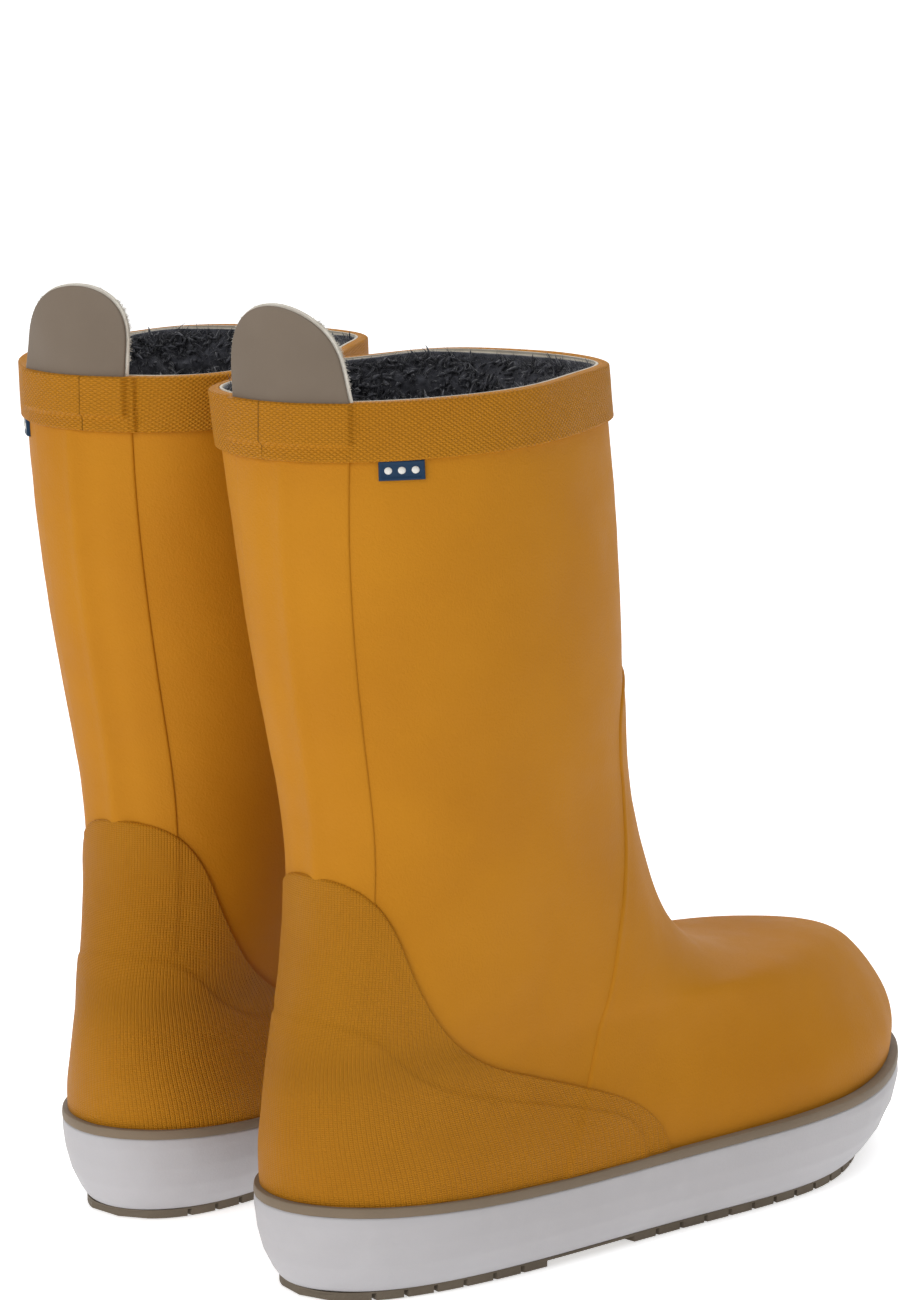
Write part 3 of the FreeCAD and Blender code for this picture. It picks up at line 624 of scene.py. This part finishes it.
def make_vamp(boot):
    """Second rubber layer over the forefoot, thinner towards its beaded seam."""
    top = edge_height("vamp", np.array([6.0]), 120.0, 250.0)[0]
    near_top = top * (1 - 0.1 * np.cos(np.linspace(0, math.pi / 2, 26))[1:])
    v = np.minimum(np.concatenate([np.linspace(0, top * 0.9, 110), near_top]), top - 0.15)

    def seam(start):
        def test(u):
            return edge_distance("vamp", last.base(u, v))
        return find(test, line_of(start, v), line_of(6.0, v))

    outer_u, inner_u = seam(0.6), seam(11.4)
    u, gap = spread(outer_u, inner_u, line_of(24.0, v), 150, radius=1.6)
    vv = np.repeat(v[:, None], u.shape[1], axis=1)
    inside = np.abs(edge_distance("vamp", last.grid(u, vv)))
    bead = 0.32 * np.exp(-((inside - 1.1) / 0.7) ** 2)
    full = FILM + 0.35 + 0.45 * smooth(inside / 9.0)
    thick = full * rounded(gap, 1.6) + bead
    panel(boot, "vamp", u, vv, thick, -0.5, "yellow_rubber", ["vamp", "toe_puff"])


def stay_across(p):
    """Distance outwards from the back stay's middle line, and the stay's half width, at points."""
    share = np.clip((p[..., 2] - STAY_LOW_Z) / (STAY_HIGH_Z - STAY_LOW_Z), 0, 1)
    return p[..., 0] - TAB_SHIFT * share, (STAY_LOW + (STAY_TOP - STAY_LOW) * share) / 2


def stay_limits(v):
    """u at the back stay's two long edges, for each height."""
    def limit(sign, start, stop):
        def test(u):
            across, half = stay_across(last.base(u, v))
            return across - sign * half
        return find(test, line_of(start, v), line_of(stop, v))

    return limit(-1, -2.9, 0.0), limit(1, 0.0, 2.9)


def make_stay(boot):
    """Strip up the back, with a soft upright ridge that fades out at both ends."""
    low = edge_low_v(STAY_LOW_Z + 2)
    v = np.linspace(low, last.top - 1.5, 120)
    a, b = stay_limits(v)
    u, gap = spread(a, b, line_of(28.0, v), 34, radius=0.9)
    vv = np.repeat(v[:, None], u.shape[1], axis=1)
    across, _ = stay_across(last.grid(u, vv))
    ridge = 1.0 * np.exp(-((across - 1.5) / 3.0) ** 2) - 0.4 * np.exp(-((across + 6.0) / 3.6) ** 2)
    fade = smooth((vv - low) / 30.0) * smooth((last.top - vv) / 30.0)
    full = FILM + 0.62 + ridge * (0.35 + 0.65 * fade)
    panel(boot, "back_stay", u, vv, full * rounded(gap, 0.9), -0.5, "yellow_rubber", ["back_stay"])


def edge_low_v(z):
    """v at a height on the back centre line."""
    u = np.array([0.0])

    def test(v):
        return last.base(u, v)[:, 2] - z

    return find(test, np.array([0.0]), np.array([last.top]))[0]


def stay_share(u, v):
    """1 over the back stay, falling to 0 just outside it, and the points of the last there."""
    p = last.grid(u, v)
    across, half = stay_across(p)
    at_back = p[..., 1] < -95
    share = smooth((half + 0.9 - np.abs(across)) / 1.8)
    return share * at_back * smooth((p[..., 2] - STAY_LOW_Z + 2) / 4), p


def counter_columns(name, n):
    """Columns round the heel from one end of the panel to the other."""
    def test(u):
        return edge_distance(name, last.base(u, line_of(0.6, u)))
    ends = find(test, np.array([0.5, -0.5]), np.array([4.4, -4.4]))
    return np.linspace(ends[1] + 0.004, ends[0] - 0.004, n)


def make_heel_panel(boot, name, edge, columns, rows, thickness, material, inner):
    """Panel round the heel, from the welt up to its side-view edge."""
    radius = 1.2
    u = counter_columns(edge, columns)
    top = edge_height(edge, u, 0.3, 190.0)
    v, gap = spread(line_of(0.0, u), top, line_of(1.0, u), rows, lip_a=False, radius=radius)
    uu = np.repeat(u[:, None], v.shape[1], axis=1)
    full = thickness(uu, v)
    side_gap = np.minimum(np.abs(u - u[0]), np.abs(u[-1] - u))[:, None] * 30.0
    thick = full * rounded(np.minimum(gap, side_gap + 0.05), radius)
    panel(boot, name, uu.T, v.T, thick.T, inner, material, [name])


def counter_thickness(u, v):
    """The counter bulges over the stiffener, the back stay and the vamp, which lie beneath it."""
    share, p = stay_share(u, v)
    under = smooth((edge_distance("stiffener", p) + 0.9) / 1.8)
    toe = smooth((-edge_distance("vamp", p) + 0.9) / 1.8) * (p[..., 1] > -90)
    return FILM + 1.25 + 0.55 * under + 0.4 * share + 0.45 * toe


def stiffener_thickness(u, v):
    return FILM + 0.5 + 0 * u


def make_band(boot):
    """Rim band with its diamond pattern, the bulges over what lies beneath, and its lapped end."""
    u = np.linspace(0, 12, 900, endpoint=False)

    def test(v):
        p = last.base(u, v)
        return p[:, 2] - (rim_height(p[:, 1]) - BAND_HEIGHT)

    low = find(test, line_of(last.top - 40, u), line_of(last.top, u))
    v, gap = spread(low, line_of(last.top, u), line_of(1.0, u), 36, radius=0.8)
    uu = np.repeat(u[:, None], v.shape[1], axis=1)
    share, p = stay_share(uu, v)
    across = p[..., 0] - TAB_SHIFT
    at_back = p[..., 1] < -100
    down = rim_height(p[..., 1]) - p[..., 2]
    half = TAB_WIDTH / 2
    over_tab = smooth((half + 1.2 - np.abs(across)) / 1.7) * smooth((TAB_ROOT + 2.0 - down) / 1.6)
    lap = across + half + 3.2
    lapped = smooth(lap / 0.7 + 0.5) * np.exp(-np.clip(lap, 0, None) / 26.0) * at_back
    slit = np.exp(-((lap + 0.35) / 0.45) ** 2) * at_back
    full = FILM + 1.75 + 0.55 * share + 1.55 * over_tab * at_back + 0.75 * lapped - 0.9 * slit
    thick = full * (0.25 + 0.75 * rounded(gap, 0.8))
    points = [on_last(uu.T, v.T, thick.T)]
    uv = [np.stack([girth(uu.T.ravel()), v.T.ravel()], axis=1)]
    for edge, offset in ((-1, 0.1), (-1, -0.4)):
        points.append(on_last(uu.T[edge:], v.T[edge:], np.full_like(uu.T[edge:], offset)))
        uv.append(np.stack([girth(uu.T[edge]), v.T[edge]], axis=1))
    points.insert(0, on_last(uu.T[:1], v.T[:1], np.full_like(uu.T[:1], -0.3)))
    uv.insert(0, uv[0][:len(u)])
    points, uv = np.concatenate(points), np.concatenate(uv)
    boot.piece("rim_band", points.reshape(-1, 3), grid_faces(*points.shape[:2], True), uv,
               "yellow_rubber_diamond", replaces=["rim_band"])


# ---------------------------------------------------------------- pull tab
def tab_half_width(b, grow=0.0):
    """Half width of the tab at a height above the rim: tapered sides, then a round top."""
    top = TAB_RISE + grow
    start = top * 0.25
    t = np.clip((b - start) / (top - start), 0, 1)
    straight = TAB_WIDTH / 2 + grow - TAB_TAPER * np.clip(b, 0, top) / top
    return straight * np.sqrt(np.clip(1 - t**3.0, 0, 1))


def rim_at(x):
    """u of the point on the rim at each x, on the back of the boot."""
    v = line_of(last.top, x)

    def test(u):
        return last.base(u, v)[:, 0] - x

    return find(test, line_of(-3.0, x), line_of(3.0, x))


def tab_points(s, b, offset, grow=0.0):
    """Points of the tab: s from -1 to 1 across it, b above the rim, offset outwards."""
    x = TAB_SHIFT + s * np.where(b < 0, TAB_WIDTH / 2, tab_half_width(b, grow))
    x = x - TAB_LEAN * np.clip(b, 0, None) / TAB_RISE
    u = rim_at(x.ravel()).reshape(x.shape)
    v = np.full(u.shape, last.top) + np.minimum(b, 0)
    point, normal = last.point_and_normal(u, v)
    flat = normal * (1, 1, 0)
    flat /= np.linalg.norm(flat, axis=-1)[..., None]
    above = np.clip(b, 0, None)
    lean = -0.9 * (above / TAB_RISE) ** 2 + 0.25 * wobble(point + np.stack([0 * b, 0 * b, b], -1), 22.0, 8)
    lean = np.where(b < 0, 0, lean)
    return point + flat * (offset + lean)[..., None] + np.stack([0 * b, 0 * b, above], axis=-1)


def make_tab(boot):
    """Rubber face and felt backing, each one sheet from under the band to the round top."""
    for name, inner, outer, grow, material, replaces in (
        ("pull_tab_face", 1.65, 2.75, 0.0, "taupe_rubber", ["pull_tab_face", "pull_tab_root"]),
        ("pull_tab_felt", 0.0, 1.6, 0.8, "pale_felt", ["pull_tab_felt"]),
    ):
        top = TAB_RISE + grow
        above = top * np.sin(np.linspace(0, math.pi / 2, 40))
        rise = np.concatenate([np.linspace(-TAB_ROOT, 0, 7)[:-1], above])
        rise[-1] = top - 0.02
        s = np.sin(np.linspace(-math.pi / 2, math.pi / 2, 41))
        ss, bb = np.meshgrid(s, rise)
        width = np.where(bb < 0, TAB_WIDTH / 2, tab_half_width(bb, grow))
        gap = np.minimum((1 - np.abs(ss)) * width, (top - bb) * 0.9)
        middle, half = (outer + inner) / 2, (outer - inner) / 2
        bulge = rounded(gap, min(0.5, half))
        front = tab_points(ss, bb, middle + half * bulge, grow)
        rear = tab_points(ss, bb, middle - half * bulge, grow)
        rows, cols = ss.shape
        count = rows * cols
        faces = grid_faces(rows, cols, False)
        faces += [f[::-1] for f in grid_faces(rows, cols, False, count)]
        for i in range(rows - 1):
            a, b = i * cols, (i + 1) * cols
            faces.append([a + count, a, b, b + count])
            faces.append([a + cols - 1, a + cols - 1 + count, b + cols - 1 + count, b + cols - 1])
        for j in range(cols - 1):
            a = (rows - 1) * cols + j
            faces.append([a, a + 1, a + 1 + count, a + count][::-1])
            faces.append([j, j + 1, j + 1 + count, j + count])
        points = np.concatenate([front.reshape(-1, 3), rear.reshape(-1, 3)])
        uv = np.concatenate([np.stack([(ss * width).ravel(), bb.ravel()], axis=1)] * 2)
        piece = boot.piece(name, points, faces, uv, material, None, replaces)
        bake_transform(piece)
    make_fray(boot)


def make_fray(boot):
    """Loose fibres along the cut edge of the felt backing."""
    rng = np.random.default_rng(21)
    n = 420
    b = TAB_RISE * np.sqrt(rng.uniform(0.02, 1.0, n))
    s = np.sign(rng.uniform(-1, 1, n)) * np.where(b > TAB_RISE * 0.85, rng.uniform(0.0, 1.0, n), 1.0)
    start = tab_points(s, np.minimum(b, TAB_RISE - 0.05), rng.uniform(0.2, 1.5, n), 0.7)
    centre = np.array([TAB_SHIFT, start[:, 1].mean(), last.rings[-1][0][2] + 10.0])
    out = start - centre
    out[:, 1] = 0
    out /= np.linalg.norm(out, axis=1)[:, None]
    lean = out + rng.normal(scale=0.55, size=(n, 3))
    length = rng.uniform(0.5, 1.5, n)
    points, faces = strands(start, lean, length, rng.uniform(0.05, 0.11, n), rng, 3, 0.5)
    boot.piece("felt_fray", points, faces, None, "pale_felt", "pull_tab")


def strands(start, direction, length, radius, rng, rings=4, bend=0.6, sides=3):
    """Small tapering fibres or clumps of them, as closed spikes."""
    n = len(start)
    direction = direction / np.linalg.norm(direction, axis=1)[:, None]
    side = np.cross(direction, rng.normal(size=(n, 3)))
    side /= np.linalg.norm(side, axis=1)[:, None]
    other = np.cross(direction, side)
    curl = side * rng.uniform(-bend, bend, n)[:, None] + other * rng.uniform(-bend, bend, n)[:, None]
    points = []
    for i in range(rings):
        t = i / rings
        middle = start + direction * (length * t)[:, None] + curl * (length * t * t)[:, None]
        width = radius * (1 - t) ** 0.7 * (1.0 + 0.35 * math.sin(math.pi * t))
        for k in range(sides):
            a = 2 * math.pi * k / sides
            ring = side * (width * math.cos(a))[:, None] + other * (width * math.sin(a))[:, None]
            points.append(middle + ring)
    points.append(start + direction * length[:, None] + curl * length[:, None])
    per = rings * sides + 1
    points = np.stack(points, axis=1).reshape(-1, 3)
    one = []
    for i in range(rings - 1):
        for k in range(sides):
            a, b = i * sides + k, i * sides + (k + 1) % sides
            one.append([a, b, b + sides, a + sides])
    for k in range(sides):
        one.append([(rings - 1) * sides + k, (rings - 1) * sides + (k + 1) % sides, per - 1])
    return points, [[j * per + i for i in f] for j in range(n) for f in one]


# ---------------------------------------------------------------- pile lining
def make_lining(boot):
    """Lumpy pile against the canvas, with soft clumps and fine loose fibres, and a few tall tufts."""
    u = np.linspace(0, 12, 320, endpoint=False)
    depth = np.concatenate([np.linspace(250.0, 32.0, 80), np.linspace(30.5, 0.7, 36)])
    v = last.top - depth
    uu, vv = np.meshgrid(u, v)
    point, normal = last.point_and_normal(uu, vv)
    lumps = wobble(point, 16.0, 30) * 0.8 + wobble(point, 8.0, 31) * 0.8 + wobble(point, 3.6, 32) * 0.45
    near_rim = smooth((depth - 0.7) / 9.0)[:, None]
    offset = -3.3 - 3.4 * near_rim + lumps * (0.25 + 0.75 * near_rim)
    rows = [point + normal * offset[..., None]]
    for dz, off in ((0.25, -2.9), (-3.0, -2.75)):
        rows.append(point[-1:] + normal[-1:] * off + np.array([0, 0, dz]))
    points = np.concatenate(rows)
    faces = [f[::-1] for f in grid_faces(*points.shape[:2], True)]
    boot.piece("pile_lining", points.reshape(-1, 3), faces, None, "grey_pile", replaces=["pile_lining"])
    rng = np.random.default_rng(5)
    share = 1.0
    for name, count, shallow, reach, power, long, thick, bend, lift in (
        ("pile_clumps", 4600, 2.2, 85.0, 1.6, (2.0, 3.8), (0.5, 0.95), 0.8, 0.25),
        ("pile_fuzz", 12000, 1.6, 60.0, 1.6, (1.6, 3.4), (0.07, 0.15), 1.0, 0.4),
        ("pile_tufts", 150, 1.4, 8.0, 1.0, (3.2, 5.4), (0.14, 0.34), 1.0, 1.5),
    ):
        count = int(count * share)
        uu = rng.uniform(0, 12, count)
        depth = shallow + reach * rng.uniform(0, 1, count) ** power
        vv = last.top - depth
        point, normal = last.point_and_normal(uu, vv)
        start = point + normal * (-3.8 - 2.4 * smooth((depth - 1.0) / 9.0))[:, None]
        lean = -normal * 0.7 + np.array([0, 0, lift]) + rng.normal(scale=0.5, size=(count, 3))
        length = rng.uniform(*long, count)
        made, faces = strands(start, lean, length, rng.uniform(*thick, count), rng, 4, bend)
        boot.piece(name, made, faces, None, "grey_pile")


# ---------------------------------------------------------------- sole
# The sole's outline is a blend of two, one of them shorter at the toe.
SHORTER = 10.0


def sole_line(u, z, inset, pull):
    """Points of the sole's outline at heights, insets and toe pulls given for each point."""
    back, front, half = SOLE
    shape = u.shape
    outer, inner = [half * s for s in SOLE_OUTER], [half * s for s in SOLE_INNER]
    points = []
    for shorter in (0.0, SHORTER):
        stations = ring_stations((0, back, 0), (0, front - shorter, 0), outer, inner)
        bend = cyclic_bend(stations)
        here = cyclic_value(stations, bend, u.ravel())
        across = cyclic_value(stations, bend, u.ravel() + 0.02)
        across -= cyclic_value(stations, bend, u.ravel() - 0.02)
        normal = np.stack([across[:, 1], -across[:, 0], 0 * across[:, 0]], axis=1)
        normal /= np.linalg.norm(normal, axis=1)[:, None]
        points.append((here.reshape(*shape, 3), normal.reshape(*shape, 3)))
    share = (pull / SHORTER)[..., None]
    here = points[0][0] * (1 - share) + points[1][0] * share
    normal = points[0][1] * (1 - share) + points[1][1] * share
    out = here - normal * inset[..., None]
    out[..., 2] = z
    return out


def side_profile(z):
    """The sidewall's inset and its pull at the toe, at heights."""
    levels, inset, pull = SIDE_LEVELS.T
    return np.interp(z, levels, inset), np.interp(z, levels, pull)


def make_sidewall(boot):
    """Pale sidewall, a little uneven and lapped on the outer side, and the stripe along its top."""
    u = np.linspace(0, 12, 420, endpoint=False)
    zero = np.zeros_like(u)
    line = sole_line(u, zero, zero, zero)
    top = np.interp(line[:, 1], *dense_curve(TOP_LINE).T)
    spring = TOE_SPRING * (np.clip(line[:, 1] - 60, 0, None) / 105.0) ** 2
    low = TREAD_DROP + spring
    high = top - STRIPE_HEIGHT
    # Sidewall: from inside the top edge, over it, down the face and round the lower edge.
    t = np.concatenate([[1.0, 1.0], np.linspace(1, 0, 30), [0.0, 0.0]])
    extra = np.concatenate([[3.2, 0.35], [0.06], np.zeros(28), [0.25], [1.1, 3.0]])
    z = low[None, :] + (high - low)[None, :] * t[:, None]
    z[0] -= 0.2
    z[-3] += 0.15
    inset, pull = side_profile(z)
    uu = np.repeat(u[None, :], len(t), axis=0)
    points = sole_line(uu, z, inset + extra[:, None], pull)
    uneven = 0.22 * wobble(points, 38.0, 12) + 0.12 * wobble(points, 13.0, 13)
    face = smooth(np.minimum(t, 1 - t) * 8.0)[:, None]
    ahead = points[..., 1] - SEAM_Y
    outer_side = points[..., 0] > 0
    seam = np.exp(-(ahead**2)) * outer_side
    lap = smooth(ahead / 1.2 + 0.5) * np.exp(-np.clip(ahead, 0, None) / 14.0) * outer_side
    shift = (uneven + 0.35 * lap - 0.25 * seam) * face
    centre = np.array([0, 5.0, 0])
    out = (points - centre) * (1, 0.35, 0)
    out /= np.linalg.norm(out, axis=-1)[..., None]
    points = points + out * shift[..., None]
    run = np.concatenate([[0], np.cumsum(np.linalg.norm(np.diff(line, axis=0), axis=1))])
    uv = np.stack([np.tile(run, len(t)), z.ravel()], axis=1)
    boot.piece("sole_sidewall", points.reshape(-1, 3)[::-1], grid_faces(*uu.shape, True), uv[::-1],
               "pale_rubber", replaces=["sole_sidewall"])
    # Stripe: a low bead along the top edge, leaning on the upper.
    bow = np.linspace(0, math.pi, 11)
    z = (high[None, :] + STRIPE_HEIGHT * (1 - np.cos(bow))[:, None] / 2)
    inset, pull = side_profile(z)
    bulge = 0.45 * np.sin(bow) ** 0.6
    uu = np.repeat(u[None, :], len(bow), axis=0)
    uneven = 0.06 * wobble(sole_line(uu, z, inset, pull), 11.0, 15)
    body = sole_line(uu, z + uneven, inset + 0.15 - bulge[:, None], pull)
    tuck = sole_line(uu[-1:], z[-1:] - 0.2, inset[-1:] + 4.0, pull[-1:])
    foot = sole_line(uu[:1], z[:1], inset[:1] + 3.0, pull[:1])
    points = np.concatenate([foot, body, tuck])
    boot.piece("sole_stripe", points.reshape(-1, 3), grid_faces(*points.shape[:2], True), None,
               "stripe_rubber", replaces=["sole_stripe"])


# ---------------------------------------------------------------- badge
def make_badge(boot):
    """Small moulded plate on the outer side: a raised border and three round studs."""
    low, high = (np.array(c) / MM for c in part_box(boot.name + "_badge_plate"))
    middle = (low + high) / 2 - boot.base
    x = (middle[0] * boot.cos + middle[1] * boot.sin) * boot.side
    v0, v1 = (last.top - (rim_height(-130) - z) for z in (low[2], high[2]))
    v_middle = (v0 + v1) / 2
    guess = np.array([0.0])

    def test(u):
        return last.base(u, line_of(v_middle, u))[:, 0] - x

    centre = find(test, guess, guess + 3.0)[0]
    ends = last.base(np.array([centre - 0.1, centre + 0.1]), np.array([v0, v0]))
    speed = np.linalg.norm(ends[1] - ends[0]) / 0.2
    half = BADGE_HALF_WIDTH / speed
    v = np.linspace(v0, v1, 9)
    u, gap_u = spread(line_of(centre - half, v), line_of(centre + half, v), line_of(speed, v), 30, radius=0.5)
    ones = np.ones(u.shape[1])
    vv, gap_v = spread(v0 * ones, v1 * ones, ones, 16, radius=0.5)
    rows = vv.shape[1]
    gap = np.minimum(np.repeat(gap_u[:1], rows, axis=0), gap_v.T)
    border = smooth((gap - 0.1) / 0.25) * smooth((1.25 - gap) / 0.3)
    thick = FILM + 0.75 * rounded(gap, 0.5) + 0.3 * border
    uu = np.repeat(u[:1], rows, axis=0)
    panel(boot, "badge_plate", uu, vv.T, thick, -0.2, "navy_badge", ["badge_plate"])
    rings, sides = 5, 20
    points, faces = [], []
    for shift in (-STUD_PITCH, 0.0, STUD_PITCH):
        start = len(points)
        for i in range(rings + 1):
            a = math.pi / 2 * i / rings
            r = STUD_RADIUS * math.cos(a) + 0.001
            up = FILM + 0.6 + STUD_RISE * math.sin(a)
            for k in range(sides):
                t = 2 * math.pi * k / sides
                points.append((centre + (shift + r * math.cos(t)) / speed, v_middle + r * math.sin(t), up))
        faces += grid_faces(rings + 1, sides, True, start)
    made = on_last(*np.array(points).T)
    boot.piece("badge_studs", made, faces, None, "pale_badge", replaces=["badge_studs"])


# ---------------------------------------------------------------- footbed
def make_footbed(boot):
    """Loose footbed: a foam base and a pile cover with soft edges."""
    outer = (20.0, 26.5, 33.0, 38.5, 24.5)
    inner = (20.0, 25.5, 27.0, 37.5, 28.0)
    stations = ring_stations((0, -131.0, 0), (0, 134.5, 0), outer, inner)
    bend = cyclic_bend(stations)
    u = np.linspace(0, 12, 200, endpoint=False)
    line = cyclic_value(stations, bend, u)
    slope = (SECTIONS[0][3] - SECTIONS[0][1]) / (SECTIONS[0][2] - SECTIONS[0][0])
    for name, low, high, material, fluff in (
        ("footbed_foam", 2.9, 6.9, "footbed_foam", 0.0),
        ("footbed_cover", 7.1, 9.3, "grey_pile", 0.5),
    ):
        shares = [(0.0, 0.0), (0.9, 0.0), (0.985, 0.05), (1.0, 0.3), (1.0, 0.7), (0.985, 0.95)]
        shares += [(s, 1.0) for s in np.linspace(0.965, 0.02, 34)]
        rows = []
        for out, up in shares:
            p = line * (out, 1, 1)
            p[:, 1] = line[:, 1] * out + (1 - out) * 5.0
            z = SECTIONS[0][1] + (p[:, 1] - SECTIONS[0][0]) * slope + low + (high - low) * up
            top = np.stack([p[:, 0], p[:, 1], z], axis=1)
            if up == 1.0:
                top[:, 2] += fluff * wobble(top, 5.0, 41) * 0.5 - fluff * 0.4
            rows.append(top)
        points = np.stack(rows)
        faces = grid_faces(*points.shape[:2], True)
        piece = boot.piece(name, points.reshape(-1, 3), faces, None, material, "footbed", [name])


for boot_name in SIDES:
    boot = Boot(boot_name)
    make_shell(boot)
    make_canvas(boot)
    make_vamp(boot)
    make_stay(boot)
    make_heel_panel(boot, "heel_counter", "counter", 320, 104, counter_thickness, "yellow_rubber_weave", -0.5)
    make_heel_panel(boot, "heel_stiffener", "stiffener", 120, 40, stiffener_thickness, "yellow_rubber", -0.3)
    make_band(boot)
    make_tab(boot)
    make_lining(boot)
    make_sidewall(boot)
    make_badge(boot)
    make_footbed(boot)


# ---------------------------------------------------------------- studio
def lit_paper(name, colour, glow):
    """White paper lit from beneath, as on a product table."""
    n = Nodes(name)
    return n.finish(Base_Color=colour, Roughness=0.9, Specular_IOR_Level=0.1, Emission_Color=colour,
                    Emission_Strength=glow)


def make_floor():
    """A sheet of white paper that curves up behind the boots, turned to face the camera."""
    mesh = bpy.data.meshes.new("floor")
    reach, back, high, bow = 6.0, 3.0, 3.5, 1.2
    profile = [(-reach, 0.0), (back, 0.0)]
    for a in np.linspace(0.1, math.pi / 2, 12):
        profile.append((back + bow * math.sin(a), bow - bow * math.cos(a)))
    profile.append((back + bow, high))
    turn = math.radians(VIEW_YAW)
    cos, sin, below = math.cos(turn), math.sin(turn), 0.0004
    points = []
    for x in (-reach, reach):
        for y, z in profile:
            points.append((x * cos - y * sin, x * sin + y * cos, z - below))
    n = len(profile)
    faces = [[i, n + i, n + i + 1, i + 1] for i in range(n - 1)]
    mesh.from_pydata(points, [], faces)
    mesh.polygons.foreach_set("use_smooth", [True] * len(mesh.polygons))
    mesh.materials.append(lit_paper("floor_paper", rgba(0.93, 0.93, 0.93), 0.60))
    obj = bpy.data.objects.new("floor", mesh)
    bpy.context.scene.collection.objects.link(obj)


def area_light(name, place, target, size, power):
    """A soft white light, size metres square."""
    data = bpy.data.lights.new(name, "AREA")
    data.shape, data.size, data.energy = "SQUARE", size, power
    obj = bpy.data.objects.new(name, data)
    obj.location = place
    obj.rotation_euler = (Vector(target) - Vector(place)).to_track_quat("-Z", "Y").to_euler()
    bpy.context.scene.collection.objects.link(obj)


VIEW_YAW, VIEW_PITCH = 36.84, 11.47
CAMERA_PLACE = (0.8184, -1.0948, 0.4138)
make_floor()
camera_data = bpy.data.cameras.new("camera")
camera_data.sensor_width = 36.0
camera_data.lens = 108.2
camera_data.shift_y = 0.1077
camera = bpy.data.objects.new("camera", camera_data)
camera.location = CAMERA_PLACE
camera.rotation_euler = Euler((math.radians(90 - VIEW_PITCH), 0, math.radians(VIEW_YAW)), "XYZ")
bpy.context.scene.collection.objects.link(camera)
bpy.context.scene.camera = camera

world = bpy.data.worlds.new("studio")
world.use_nodes = True
sky = world.node_tree.nodes["Background"].inputs
sky["Color"].default_value, sky["Strength"].default_value = rgba(1.0, 1.0, 1.0), 0.385
bpy.context.scene.world = world
area_light("key", (0.05, -2.25, 1.3), (0, 0, 0.15), 1.2, 22.0)
area_light("top", (0.0, 0.2, 2.2), (0, 0, 0.0), 2.0, 20.0)
bpy.context.scene.view_settings.view_transform = "Standard"
